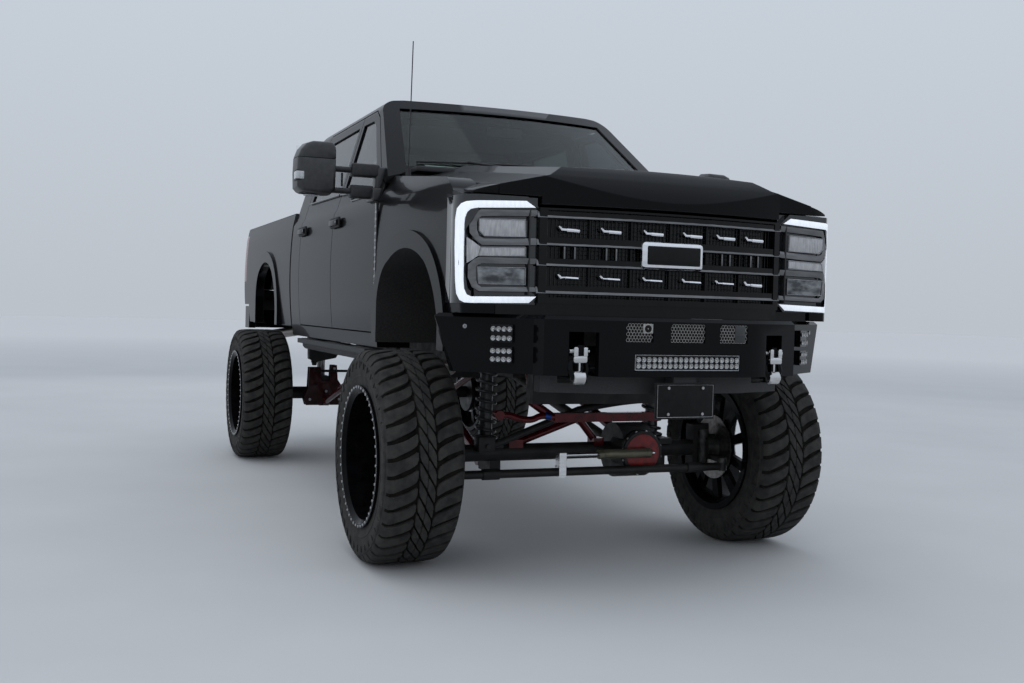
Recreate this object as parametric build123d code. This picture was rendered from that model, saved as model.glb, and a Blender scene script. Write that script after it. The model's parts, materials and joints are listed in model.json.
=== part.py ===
from build123d import *
import os
from math import atan2, degrees, hypot

# A lifted four-door pickup truck on tall mud tyres.
# Millimetres. +X is forward, +Y is the truck's left, +Z is up, and z = 0 is the ground.

# Overall lengths along the truck
WHEELBASE = 4059
FRONT_REACH = 1100
REAR_REACH = 1321
FA = (WHEELBASE + FRONT_REACH + REAR_REACH) / 2 - FRONT_REACH
RA = FA - WHEELBASE

# Clearances between pieces
SHUT_GAP = 8
FIT = 0.3
RUN_GAP = 8

# Wheels and tyres
TYRE_R = 540
TYRE_W = 390
TREAD_W = 330
HUB_Z = TYRE_R
RIM_R = 359
RIM_W = 400
BARREL_R = 330
BARREL_WALL = 12
FLANGE_T = 14
SPOKES = 10
# Tyre casing: flat facets round it, and how far its shoulders fall away
TYRE_FACETS = 40
BORE_FACETS = 20
SHOULDER_IN = 50
SHOULDER_FALL = 34
# Tread notches, one to every second facet, staggered from side to side
NOTCH_DEPTH = 18
NOTCH_W = 38
NOTCH_LEAN = 14
NOTCH_INNER_Y = 48
FRONT_TRACK = 2080
REAR_TRACK = 2110
HUB_FACE_IN = 172
KINGPIN_IN = 255
KINGPIN_Y = FRONT_TRACK / 2 - KINGPIN_IN
KNUCKLE_R = 46
STEER_ARM = 210

# Cab section, as half widths and heights
SILL_Y = 972
SIDE_Y = 1002
BELT_Y = 962
RAIL_Y = 800
ROOF_Y = 700
UNDER_ALL_Z = 600
SILL_Z = 1065
SIDE_Z = 1480
SHOULDER_Z = 1890
BELT_Z = 1930
RAIL_Z = 2500
ROOF_Z = 2628
ROOF_CROWN = 28
UNDER_Z = 1190
FLOOR_Z = 1280
WALL = 92
PILLAR = 55

# Cab stations along the truck, ahead of the front axle
FIREWALL = -600
DOOR_FRONT = -652
DOOR_SPLIT = -1706
DOOR_REAR = -2722
CAB_BACK = -3030
DOOR_BOTTOM = 1152
DOOR_TOP = 2532
# A door's outer sheet runs past its thick inner frame all round
DOOR_SHEET = 10
DOOR_STEP = 20
# Heights of the hinge and striker pads that the doors close against
PAD_HEIGHTS = (1340, 1760)
SCREEN_X = -560
SCREEN_Z = 2100
SCREEN_BOW = 155
SCREEN_HALF = 870
SCREEN_RUN = 640
SCREEN_RISE = 460
GLASS_T = 6
GLASS_IN = 10
# Half openings of the wind screen and rear window: y and z at the bottom, then at the top
SCREEN_HOLE = [(808, 2112), (690, 2538)]
REAR_HOLE = [(640, 2060), (585, 2430)]

# Nose, bonnet and wings
NOSE_X = 935
NOSE_BOW = 75
NOSE_HALF = 650
LAMP_X = 842
LAMP_HALF = 940
CORNER_X = 660
HOOD_REAR = -505
HOOD_HALF = 845
HOOD_REAR_Z = 2118
HOOD_FRONT_Z = 1978
HOOD_FALL_X = 700
HOOD_LIP_Z = 1812
HOOD_T = 34
SKIRT_X = 300
SKIRT_Z = 1870
FENDER_T = 36
WING_REAR_Z = 2040
WING_FALL_X = 470
WING_FALL_Z = 1918
ANTENNA_Y = -885
ARCH_LOW = 1100
ARCH_TOP = 1600
LINER_IN = 560
ARCH_HALF = 530
FLARE_OUT = 1016
FLARE_W = 92

# Load bed
BED_FRONT = -3072
BED_REAR = -5245
BED_RAIL_Z = 1990
BED_LOW_Z = 1130
BED_FLOOR_Z = 1460
BED_FLOOR_T = 30
BED_INNER = 840
GATE_T = 60
GATE_HALF = 765
GATE_LOW_Z = 1434
GATE_PIN_R = 6
REAR_ARCH_TOP = 1648
REAR_ARCH_HALF = 470
HOUSE_INNER = 610

# Frame and running gear
RAIL_IN = 395
RAIL_OUT = 470
FRAME_TOP = 1165
FRAME_H = 180
FRAME_REAR_TOP = 1360
FRAME_END = -5160
AXLE_TUBE_R = 45
DIFF_R = 150
FRONT_DIFF_Y = 300
LINK_R = 28
SHOCK_Y = 510
MEMBER_TOP = 858
# Beam under the engine, and the drop crossmember with its legs
BEAM_LOW = 832
DROP_X = 300
DROP_LOW = 730
DROP_HIGH = 776
DROP_HALF = 300
TRUSS_TOP = 716
# Steering damper across the front of the axle
DAMPER_Z = 545
DAMPER_R = 27
DAMPER_BORE = 12
DAMPER_IN = 10
DAMPER_OUT = 330
DAMPER_ROD_R = 9
DAMPER_CLAMP_Y = -205
# Front coil springs, as plain sleeves under their towers
SPRING_R = 60
SPRING_TOP = 1010

# Front end: head lamps, grille and steel bumper
LAMP_LOW = 1322
LAMP_TOP = 1806
LAMP_DEPTH = 150
GRILLE_LOW = 1330
GRILLE_TOP = 1762
GRILLE_T = 46
BAR_T = 34
# Grille bars: bottom and top edge of each
GRILLE_BARS = [(1389, 1412), (1503, 1534), (1593, 1630), (1716, 1747)]
GRILLE_RIBS = 7
GRILLE_SCREEN_IN = 44
# Head lamp: the proud C-shaped light bar (y, z), and the lamp blocks behind it
LAMP_SET_IN = 26
LAMP_BAR = [
    (660, 1349), (684, LAMP_LOW), (1100, LAMP_LOW), (1100, LAMP_TOP), (708, LAMP_TOP),
    (656, 1760), (932, 1747), (988, 1640), (988, 1500), (966, 1349),
]
# Lamp blocks: y from, y to, z from, z to
LAMP_BLOCKS = [
    (705, 930, 1625, 1700),
    (705, 1000, 1530, 1580),
    (705, 940, 1410, 1490),
]
LAMP_SIDE_X = 790

BUMPER_TOP = 1277
BUMPER_LOW = 1012
BUMPER_T = 30
CHIN_LOW = 930
# Bumper face in plan, from the middle out: x ahead of the front axle, y
BUMPER_PLAN = [
    (FRONT_REACH, 0),
    (FRONT_REACH, 365),
    (980, 668),
    (915, 690),
    (760, 905),
    (640, 1070),
]
BUMPER_EDGE = 16
# The outer ends lean in towards the bottom
BUMPER_END_IN = 90
RECESS_Y = 503
SHACKLE_Y = 514
SHACKLE_X = 1010
SHACKLE_Z = 1090
SHACKLE_R = 13
# Tow shackle's bow, from the pin down and round: x, y from its middle, z
SHACKLE_BOW = [
    (SHACKLE_X, 36, SHACKLE_Z),
    (SHACKLE_X + 12, 42, 1040),
    (SHACKLE_X + 16, 24, 998),
    (SHACKLE_X + 16, -24, 998),
    (SHACKLE_X + 12, -42, 1040),
    (SHACKLE_X, -36, SHACKLE_Z),
]
LIGHT_BAR_HALF = 277
LIGHT_BAR_LOW = 1038
LIGHT_BAR_HIGH = 1116
# Lamp pods on each corner facet: bottom and top, and their share of the facet
POD_ROWS = [(1058, 1132), (1150, 1232)]
POD_SPAN = (0.34, 0.72)
POD_T = 26
MESH_LOW = 1168
MESH_HIGH = 1252
# Mesh panels in the middle of the face: inner and outer y
MESH_PANELS = [(-325, -185), (-95, 85), (165, 315)]

# Licence plate, hung under the bumper
PLATE_X = 1080
PLATE_HALF = 155
PLATE_LOW = 820
PLATE_HIGH = 985

# Tail lamps and hitch
HITCH_PIN_IN = 95
HITCH_PIN_R = 8
LAMP_IN_Y = 800
REAR_LAMP_D = 110
REAR_LAMP_LOW = 1500
REAR_LAMP_HIGH = 1930


def face_of(points, place):
    """A closed face through a table of points; a point marked via is the middle of an arc."""
    here = place(*points[0])
    through = None
    edges = []
    for point in points[1:] + points[:1]:
        if point[0] == "via":
            through = place(*point[1:])
            continue
        there = place(*point)
        if through is None:
            edges.append(Edge.make_line(here, there))
        else:
            edges.append(Edge.make_three_point_arc(here, through, there))
        here = there
        through = None
    return Face(Wire(edges))


def slab_xz(points, y_low, y_high):
    """A side-view outline (x from the front axle, z), thick from y_low to y_high."""
    face = face_of(points, lambda x, z: Vector(FA + x, y_low, z))
    return Solid.extrude(face, Vector(0, y_high - y_low, 0))


def slab_yz(points, x_low, x_high, lift=0):
    """A front-view outline (y, z), run from x_high back to x_low, rising by lift on the way."""
    face = face_of(points, lambda y, z: Vector(FA + x_high, y, z))
    return Solid.extrude(face, Vector(x_low - x_high, 0, lift))


def slab_xy(points, z_low, z_high):
    """A plan outline (x from the front axle, y), from z_low up to z_high."""
    face = face_of(points, lambda x, y: Vector(FA + x, y, z_low))
    return Solid.extrude(face, Vector(0, 0, z_high - z_low))


def block(x_low, x_high, y_low, y_high, z_low, z_high):
    """A box between two corners, with x from the front axle."""
    size = (x_high - x_low, y_high - y_low, z_high - z_low)
    middle = (FA + (x_low + x_high) / 2, (y_low + y_high) / 2, (z_low + z_high) / 2)
    return Pos(*middle) * Box(*size)


def rod(start, end, radius):
    """A round bar between two points, with x from the front axle."""
    a = Vector(FA + start[0], start[1], start[2])
    b = Vector(FA + end[0], end[1], end[2])
    return Solid.make_cylinder(radius, (b - a).length, Plane(origin=a, z_dir=(b - a)))


def bent_rod(points, radius):
    """Round bars from point to point, with a ball at each joint."""
    shape = rod(points[0], points[1], radius)
    for start, end in zip(points[1:], points[2:]):
        knee = Pos(FA + start[0], start[1], start[2]) * Sphere(radius)
        shape = shape + knee + rod(start, end, radius)
    return shape


def across(points):
    """A half outline on +Y, from the bottom up, made whole by its mirror image on -Y."""
    other = []
    for point in reversed(points):
        if point[0] == "via":
            other.append(("via", -point[1], point[2]))
        else:
            other.append((-point[0], point[1]))
    return points + other


def other_side(shape):
    return mirror(shape, about=Plane.XZ)


def write(name, *shapes):
    """One STEP file for one piece, or for like pieces that do not touch."""
    solids = []
    for shape in shapes:
        solids.extend(shape.solids())
    export_step(Compound(solids), "parts/" + name + ".step")


def save_pair(name, left):
    write(name + "_left", left)
    write(name + "_right", other_side(left))


# Cab: one hollow shell, with the four doors cut out of the same walls

def side_curve(inset):
    """The body side on +Y that the cab, wings and bed share, pulled in by an inset."""
    return [
        (SILL_Y - inset, UNDER_ALL_Z),
        (SILL_Y - inset, SILL_Z),
        ("via", SIDE_Y - inset, SIDE_Z),
        (SIDE_Y - 18 - inset, SHOULDER_Z),
    ]


def cab_half(low, high):
    """The cab's outline on +Y, pulled in by low below the belt and by high above it."""
    return side_curve(low) + [
        (BELT_Y - max(low, high), BELT_Z),
        (RAIL_Y - high, RAIL_Z - high / 2),
        ("via", RAIL_Y - 30 - high, RAIL_Z + 62 - high),
        (ROOF_Y - high, ROOF_Z - ROOF_CROWN - high),
    ]


def cab_solid(low, high, bottom, front, back):
    """The cab's outside pulled in by low and high, as a solid between two stations."""
    half = cab_half(low, high)
    whole = half + [("via", 0, ROOF_Z - high)] + across(half)[len(half):]
    section = slab_yz(whole, back, front)
    slope = SCREEN_RUN / SCREEN_RISE
    steep = hypot(SCREEN_RUN, SCREEN_RISE) / SCREEN_RISE
    wide = 1150
    bow = SCREEN_BOW * (wide / SCREEN_HALF) ** 2
    drop = SCREEN_Z - UNDER_ALL_Z + 100
    rise = 2300
    nose = SCREEN_X - high * steep + drop * slope
    plan = [
        (CAB_BACK - 900, -wide),
        (nose - bow, -wide),
        ("via", nose, 0),
        (nose - bow, wide),
        (CAB_BACK - 900, wide),
    ]
    base = face_of(plan, lambda x, y: Vector(FA + x, y, SCREEN_Z - drop))
    screen = Solid.extrude(base, Vector(-rise * slope, 0, rise))
    roof = [
        (0, bottom),
        (0, ROOF_Z - 30 - high),
        (-1250, ROOF_Z - 30 - high),
        ("via", -2050, ROOF_Z - high),
        (CAB_BACK + 170, ROOF_Z - 30 - high),
        ("via", CAB_BACK + 80 + high, ROOF_Z - 62 - high),
        (CAB_BACK + 52 + high, ROOF_Z - 130 - high),
        (CAB_BACK + high, BELT_Z),
        (CAB_BACK + high, bottom),
    ]
    side = slab_xz(roof, -1200, 1200)
    return section & screen & side


def grown(points, by):
    """A door outline pushed out from its own middle by a gap on every side."""
    middle_x = sum(p[0] for p in points) / len(points)
    middle_z = sum(p[1] for p in points) / len(points)
    face = face_of(points, lambda x, z: Vector(x, z, 0))
    wire = offset(face, by, kind=Kind.INTERSECTION).faces()[0].outer_wire()
    corners = [(v.X, v.Y) for v in wire.vertices()]
    corners.sort(key=lambda c: atan2(c[1] - middle_z, c[0] - middle_x))
    return corners


FRONT_DOOR = [
    (DOOR_FRONT, DOOR_BOTTOM),
    (DOOR_FRONT, 1990),
    (-790, 2045),
    (-1290, 2475),
    (-1410, DOOR_TOP),
    (DOOR_SPLIT, DOOR_TOP),
    (DOOR_SPLIT, DOOR_BOTTOM),
]
REAR_DOOR = [
    (DOOR_SPLIT - SHUT_GAP, DOOR_BOTTOM),
    (DOOR_SPLIT - SHUT_GAP, DOOR_TOP),
    (DOOR_REAR + 90, DOOR_TOP),
    (DOOR_REAR + 30, 2440),
    (DOOR_REAR, 1990),
    (DOOR_REAR, DOOR_BOTTOM),
]
FRONT_WINDOW = [
    (-880, 1962),
    (-905, 2062),
    (-1325, 2428),
    (-1420, 2470),
    (-1655, 2474),
    (-1655, 2030),
    (-1425, 2018),
    (-1362, 1962),
]
REAR_WINDOW = [
    (-1770, 2032),
    (-1770, 2474),
    (-2560, 2466),
    (-2610, 2400),
    (-2632, 2044),
]


def door_ring(gap):
    """The walls that the doors are cut from, thicker by the gap on the inside."""
    outside = cab_solid(0, 0, 700, 0, CAB_BACK - 50)
    inside = cab_solid(WALL + gap, PILLAR + gap, 600, 0, CAB_BACK - 50)
    return outside - inside


def screen_hole(corners, inset, x_low, x_high):
    """The wind screen's or rear window's opening, pulled in by an inset."""
    (y_low, z_low), (y_high, z_high) = corners
    return slab_yz(across([(y_low - inset, z_low + inset), (y_high - inset, z_high - inset)]), x_low, x_high)


def make_cab():
    outside = cab_solid(0, 0, SILL_Z, DOOR_FRONT + SHUT_GAP, CAB_BACK)
    cavity = cab_solid(WALL, PILLAR, FLOOR_Z, FIREWALL - 60, CAB_BACK + 50)
    dash_wall = block(DOOR_FRONT - 10, FIREWALL, -850, 850, UNDER_Z, 2060)
    under = block(CAB_BACK - 20, FIREWALL + 20, -780, 780, 900, UNDER_Z)
    shell = outside + dash_wall - cavity - under
    ring = door_ring(SHUT_GAP)
    for door in (FRONT_DOOR, REAR_DOOR):
        hole = slab_xz(grown(door, SHUT_GAP), 0, 1300)
        hole = hole & ring
        shell = shell - hole - other_side(hole)
    shell = shell - screen_hole(SCREEN_HOLE, 0, -1600, -300)
    shell = shell - screen_hole(REAR_HOLE, 0, CAB_BACK - 60, CAB_BACK + 140)
    post = block(DOOR_SPLIT - 60, DOOR_SPLIT + 52, 0, 1200, FLOOR_Z - 5, ROOF_Z)
    inner = cab_solid(WALL + SHUT_GAP, PILLAR + SHUT_GAP, FLOOR_Z - 5, FIREWALL - 60, CAB_BACK + 50)
    core = cab_solid(WALL + 62, PILLAR + 52, FLOOR_Z - 10, FIREWALL - 60, CAB_BACK + 50)
    post = (post & inner) - core
    shell = shell + post + other_side(post)
    seat = cab_solid(WALL + FIT, PILLAR + FIT, FLOOR_Z - 5, FIREWALL - 60, CAB_BACK + 50) - core
    for z in PAD_HEIGHTS:
        pad = block(DOOR_SPLIT - 55, DOOR_SPLIT + 46, 0, 1200, z, z + 70) & seat
        bracket = block(DOOR_FRONT - DOOR_STEP + FIT, FIREWALL - 10, 840, 940, z, z + 70)
        shell = shell + pad + other_side(pad) + bracket + other_side(bracket)
    return shell


def make_door(outline, window):
    """A thick inner frame with a thin outer sheet that runs past it, so that the edge swings clear."""
    ring = door_ring(0)
    within = cab_solid(DOOR_SHEET, DOOR_SHEET, 650, 0, CAB_BACK - 50)
    frame = slab_xz(grown(outline, -DOOR_STEP), 0, 1300) & ring
    sheet = slab_xz(outline, 0, 1300) & (ring - within)
    return frame + sheet - slab_xz(window, 0, 1300)


def make_side_glass(window):
    pane = cab_solid(GLASS_IN, GLASS_IN, 1500, -300, CAB_BACK - 50)
    pane = pane - cab_solid(GLASS_IN + GLASS_T, GLASS_IN + GLASS_T, 1400, -300, CAB_BACK - 50)
    return pane & slab_xz(grown(window, -FIT), 300, 1300)


def make_cab_glass():
    pane = cab_solid(GLASS_IN, GLASS_IN, 1500, -300, CAB_BACK - 50)
    pane = pane - cab_solid(GLASS_IN + GLASS_T, GLASS_IN + GLASS_T, 1400, -300, CAB_BACK + 40)
    front = screen_hole(SCREEN_HOLE, FIT, -1600, -300)
    back = screen_hole(REAR_HOLE, FIT, CAB_BACK - 60, CAB_BACK + 140)
    return pane & front, pane & back


# Nose, bonnet and wings

def nose_plan(inset, back):
    """The plan outline of the nose, pulled in by an inset."""
    corner_y = SIDE_Y - inset
    return [
        (back, -corner_y),
        (CORNER_X, -corner_y),
        ("via", LAMP_X - 48 - inset, -(corner_y - 14)),
        (LAMP_X - inset, -(LAMP_HALF - inset)),
        (NOSE_X - NOSE_BOW - inset, -NOSE_HALF),
        ("via", NOSE_X - inset, 0),
        (NOSE_X - NOSE_BOW - inset, NOSE_HALF),
        (LAMP_X - inset, LAMP_HALF - inset),
        ("via", LAMP_X - 48 - inset, corner_y - 14),
        (CORNER_X, corner_y),
        (back, corner_y),
    ]


def arch_points(top, half, wide, low):
    """A wheel opening's side outline about its own axle, grown by wide."""
    return [
        (half + wide, low),
        (half + wide, 1230),
        ("via", half * 0.86 + wide, top - 215 + wide * 0.4),
        (half * 0.58 + wide * 0.6, top - 75 + wide * 0.8),
        ("via", 0, top + wide),
        (-half * 0.62 - wide * 0.6, top - 58 + wide * 0.8),
        ("via", -half * 0.92 - wide * 0.9, top - 170 + wide * 0.4),
        (-half - wide, 1330),
        (-half - wide, low),
    ]


def make_fender():
    """The left wing: its side, its top edge beside the bonnet, its flare and its liner."""
    back = DOOR_FRONT + SHUT_GAP

    def body(inset):
        half = [(200, UNDER_ALL_Z)] + side_curve(inset) + [
            (SIDE_Y - 50 - inset, 1950 - inset / 2),
            (HOOD_HALF + 40, 2048 - inset),
            (200, 2080 - inset),
        ]
        side = [
            (back - inset, 900),
            (back - inset, WING_REAR_Z - inset),
            (WING_FALL_X, WING_FALL_Z - inset),
            ("via", 560, 1890 - inset),
            (640, 1838 - inset),
            (900, 1786 - inset),
            (900, 900),
        ]
        return slab_yz(half, back, 1000) & slab_xz(side, 0, 1200) & slab_xy(nose_plan(inset, back), 800, 2300)

    skin = body(0) - body(FENDER_T)
    keep = block(back, 1000, HOOD_HALF + SHUT_GAP, 1200, BUMPER_TOP + 2, 2300)
    keep = keep + block(back, 600, HOOD_HALF + SHUT_GAP, 1200, ARCH_LOW, BUMPER_TOP + 2)
    wing = skin & keep
    opening = slab_xz(arch_points(ARCH_TOP, ARCH_HALF, 0, 900), 300, 1300)
    lip_out = slab_xz(arch_points(ARCH_TOP, ARCH_HALF, FLARE_W, ARCH_LOW), SIDE_Y - FENDER_T, FLARE_OUT)
    lip_out = lip_out & block(-900, 632, 900, 1100, ARCH_LOW, 1800)
    liner = slab_xz(arch_points(ARCH_TOP, ARCH_HALF, 16, ARCH_LOW), LINER_IN, SIDE_Y - 12)
    liner = liner & block(-900, 632, 500, 1100, ARCH_LOW, 1800)
    wing = wing + lip_out + liner - opening
    lamp_hole = block(CORNER_X - 60, 1000, NOSE_HALF - 20, 1200, LAMP_LOW - FIT, LAMP_TOP + FIT)
    stop = block(SKIRT_X - 30, SKIRT_X, HOOD_HALF - 25, HOOD_HALF + 40, SKIRT_Z - 30, SKIRT_Z - FIT)
    stop = stop + block(SKIRT_X - 30, SKIRT_X, HOOD_HALF + 12, HOOD_HALF + 40, SKIRT_Z - 30, SKIRT_Z + 40)
    return wing - lamp_hole + stop


def make_hood():
    rise = (HOOD_REAR_Z - HOOD_FRONT_Z) / (HOOD_FALL_X - HOOD_REAR)

    def skin(inset, low):
        length = NOSE_X + 100 - HOOD_REAR
        top = HOOD_FRONT_Z - rise * (NOSE_X + 100 - HOOD_FALL_X) - inset
        half = [
            (HOOD_HALF - inset, 1500 if low else top - 104),
            (HOOD_HALF - inset, top - 104),
            (600, top - 46),
            (525, top - 8),
        ]
        whole = half + [("via", 0, top + 6)] + across(half)[len(half):]
        sheet = slab_yz(whole, HOOD_REAR, NOSE_X + 100, lift=rise * length)
        nose = [
            (HOOD_REAR + inset, 1400),
            (HOOD_REAR + inset, 2400),
            (HOOD_FALL_X - 60, 2400),
            (HOOD_FALL_X - 60, HOOD_FRONT_Z + 40 - inset),
            ("via", 850 - inset, 1918 - inset),
            (NOSE_X - inset, HOOD_LIP_Z),
            (NOSE_X - inset, 1400),
        ]
        return sheet & slab_xz(nose, -1000, 1000) & slab_xy(nose_plan(inset, HOOD_REAR - 60), 1300, 2400)

    shell = skin(0, True) - skin(HOOD_T, True)
    keep = slab_xz([
        (HOOD_REAR - 10, 1965),
        (HOOD_REAR - 10, 2300),
        (NOSE_X + 50, 2300),
        (NOSE_X + 50, HOOD_LIP_Z - 34),
        (600, HOOD_LIP_Z - 34),
        (SKIRT_X, SKIRT_Z),
    ], -1000, 1000)
    shell = shell & keep
    lamp_room = block(CORNER_X - 90, 1100, NOSE_HALF - RUN_GAP, 1200, 1300, LAMP_TOP + RUN_GAP)
    return shell - lamp_room - other_side(lamp_room)


# Front end: grille, head lamps and the steel bumper

def bumper_face(inset, drop, low, high):
    """The bumper's plan, pulled back by an inset, as a solid between two heights."""
    front = [(x - inset - drop, y - (inset * 0.45 if y > 100 else 0)) for x, y in BUMPER_PLAN]
    right = [(x, -y) for x, y in reversed(front[1:])]
    plan = right + front[1:] + [(560 - drop, front[-1][1]), (560 - drop, -front[-1][1])]
    return slab_xy(plan, low, high)


def bumper_ends(inset):
    """What the leaning ends of the bumper leave out, pulled in by an inset."""
    wide = BUMPER_PLAN[-1][1] - inset
    low = BUMPER_LOW - 20
    corners = [(wide, BUMPER_TOP), (wide - BUMPER_END_IN, low), (1200, low), (1200, BUMPER_TOP)]
    wedge = slab_yz(corners, 500, 800)
    return wedge + other_side(wedge)


def make_shackle():
    """A tow shackle on its pin, on the +Y side."""
    bow = bent_rod([(x, SHACKLE_Y + y, z) for x, y, z in SHACKLE_BOW], SHACKLE_R)
    pin = rod((SHACKLE_X, SHACKLE_Y - 52, SHACKLE_Z), (SHACKLE_X, SHACKLE_Y + 52, SHACKLE_Z), 16)
    return bow + pin


def make_front_bumper():
    outer = bumper_face(0, 0, BUMPER_LOW, BUMPER_TOP) - bumper_ends(0)
    rim = outer.edges().filter_by_position(Axis.Z, BUMPER_TOP - 1, BUMPER_TOP + 1)
    outer = outer.chamfer(BUMPER_EDGE, None, rim.filter_by_position(Axis.X, FA + 600, FA + 1200))
    inner = bumper_face(BUMPER_T, 0, BUMPER_LOW - 10, BUMPER_TOP - 12) - bumper_ends(BUMPER_T)
    shell = outer - inner - block(400, 640, -1200, 1200, 900, 1400)
    open_back = block(500, 700, -620, 620, 900, 1400)
    shell = shell - open_back
    chin = bumper_face(70, 30, CHIN_LOW, BUMPER_LOW) & block(700, 1200, -640, 640, 900, 1300)
    chin = chin - bumper_face(92, 30, CHIN_LOW - 10, BUMPER_LOW + 10)
    shelf = bumper_face(2, 0, BUMPER_LOW, BUMPER_LOW + 14) & block(700, 1200, -640, 640, 900, 1300)
    shell = shell + shelf + chin
    for side in (-1, 1):
        centre = side * RECESS_Y
        shell = shell - block(700, 1200, centre - 62, centre + 62, 975, 1208)
        lug = block(880, 1035, side * SHACKLE_Y - 14, side * SHACKLE_Y + 14, 1000, 1150)
        plate = block(800, 880, centre - 80, centre + 80, 990, 1210)
        arm = block(760, 800, centre - 60, centre + 60, 990, 1200)
        horn = block(690, 780, side * 432 - 50, side * 432 + 50, 1020, 1170)
        shell = shell + lug + plate + arm + horn
    shackle = make_shackle()
    shell = shell + shackle + other_side(shackle)
    bar_hole = block(1000, 1200, -LIGHT_BAR_HALF - FIT, LIGHT_BAR_HALF + FIT,
                     LIGHT_BAR_LOW - FIT, LIGHT_BAR_HIGH + FIT)
    shell = shell - bar_hole
    for low, high in MESH_PANELS:
        shell = shell - block(FRONT_REACH - 6, FRONT_REACH + 10, low, high, MESH_LOW, MESH_HIGH)
    plate = block(PLATE_X - 8, PLATE_X, -PLATE_HALF, PLATE_HALF, PLATE_LOW, PLATE_HIGH)
    plate = plate + block(1040, PLATE_X - 6, -60, 60, PLATE_HIGH - 45, PLATE_HIGH)
    return shell + plate + block(1000, PLATE_X - 6, -60, 60, PLATE_HIGH - 20, BUMPER_LOW + 8)


def along_facet(share, out):
    """A point a share of the way along the bumper's corner facet, and out from its face."""
    (x_in, y_in), (x_out, y_out) = BUMPER_PLAN[3:5]
    length = hypot(x_out - x_in, y_out - y_in)
    normal = ((y_out - y_in) / length, (x_in - x_out) / length)
    x = x_in + (x_out - x_in) * share + normal[0] * out
    y = y_in + (y_out - y_in) * share + normal[1] * out
    return x, y


def make_bumper_lamps():
    bar = block(FRONT_REACH - 60, FRONT_REACH - 6, -LIGHT_BAR_HALF, LIGHT_BAR_HALF,
                LIGHT_BAR_LOW, LIGHT_BAR_HIGH)
    pods = []
    (back_in, front_in), (back_out, front_out) = [
        (along_facet(share, FIT), along_facet(share, POD_T)) for share in POD_SPAN
    ]
    for side in (-1, 1):
        outline = [(x, side * y) for x, y in (back_in, front_in, front_out, back_out)]
        for low, high in POD_ROWS:
            pods.append(slab_xy(outline, low, high))
    return [bar] + pods


def nose_ring(inset, thick, low, high):
    """A band of the nose's outline, pulled in by an inset, between two heights."""
    within = slab_xy(nose_plan(inset + thick, 400), low - 20, high + 20)
    return slab_xy(nose_plan(inset, 500), low, high) - within


def make_grille():
    """Gloss black bars on a frame, in front of a closed dark screen, over a valance."""
    half = NOSE_HALF - FIT
    room = block(700, 1100, -half, half, 1200, 1900)
    window = block(700, 1100, -half + 34, half - 34, GRILLE_LOW + 28, GRILLE_TOP - 10)
    grille = (nose_ring(0, GRILLE_T, GRILLE_LOW, GRILLE_TOP) & room) - window
    for low, high in GRILLE_BARS:
        grille = grille + (nose_ring(4, BAR_T, low, high) & room)
    grille = grille + (nose_ring(GRILLE_SCREEN_IN, 8, GRILLE_LOW, GRILLE_TOP) & room)
    uprights = nose_ring(26, GRILLE_SCREEN_IN - 25, GRILLE_LOW, GRILLE_TOP - 4)
    for index in range(GRILLE_RIBS):
        y = (index - (GRILLE_RIBS - 1) / 2) * 203
        grille = grille + (uprights & block(700, 1100, y - 4, y + 4, GRILLE_LOW, GRILLE_TOP - 4))
    valance = nose_ring(14, 24, BUMPER_TOP + FIT, LAMP_LOW - FIT)
    valance = valance & block(700, 1100, -HOOD_HALF, HOOD_HALF, 1200, 1400)
    lip = nose_ring(14, 24, LAMP_LOW - 2, GRILLE_LOW + 10) & room
    return grille + valance + lip


def make_headlamp():
    """The left head lamp: a set-back housing, three lamp blocks and a proud C-shaped light bar."""
    box = block(CORNER_X - 60 + FIT, 1100, NOSE_HALF + FIT, 1200, LAMP_LOW, LAMP_TOP)
    lamp = nose_ring(LAMP_SET_IN, LAMP_DEPTH - LAMP_SET_IN, LAMP_LOW, LAMP_TOP) & box
    face = nose_ring(0, LAMP_SET_IN + 6, LAMP_LOW, LAMP_TOP) & box
    lamp = lamp + (face & slab_yz(LAMP_BAR, 500, 1100))
    lamp = lamp + (face & block(500, LAMP_SIDE_X, 900, 1100, LAMP_LOW, LAMP_TOP))
    front = nose_ring(8, LAMP_SET_IN, LAMP_LOW, LAMP_TOP) & box
    for y_low, y_high, z_low, z_high in LAMP_BLOCKS:
        lamp = lamp + (front & block(700, 1100, y_low, y_high, z_low, z_high))
    return lamp


# Load bed, tailgate and rear end

def bed_solid():
    """The bed's outside as a solid."""
    whole = across(side_curve(0) + [(SIDE_Y - 40, BED_RAIL_Z)])
    body = slab_yz(whole, BED_REAR, BED_FRONT)
    return body & block(BED_REAR, BED_FRONT, -1100, 1100, BED_LOW_Z, BED_RAIL_Z)


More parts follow.
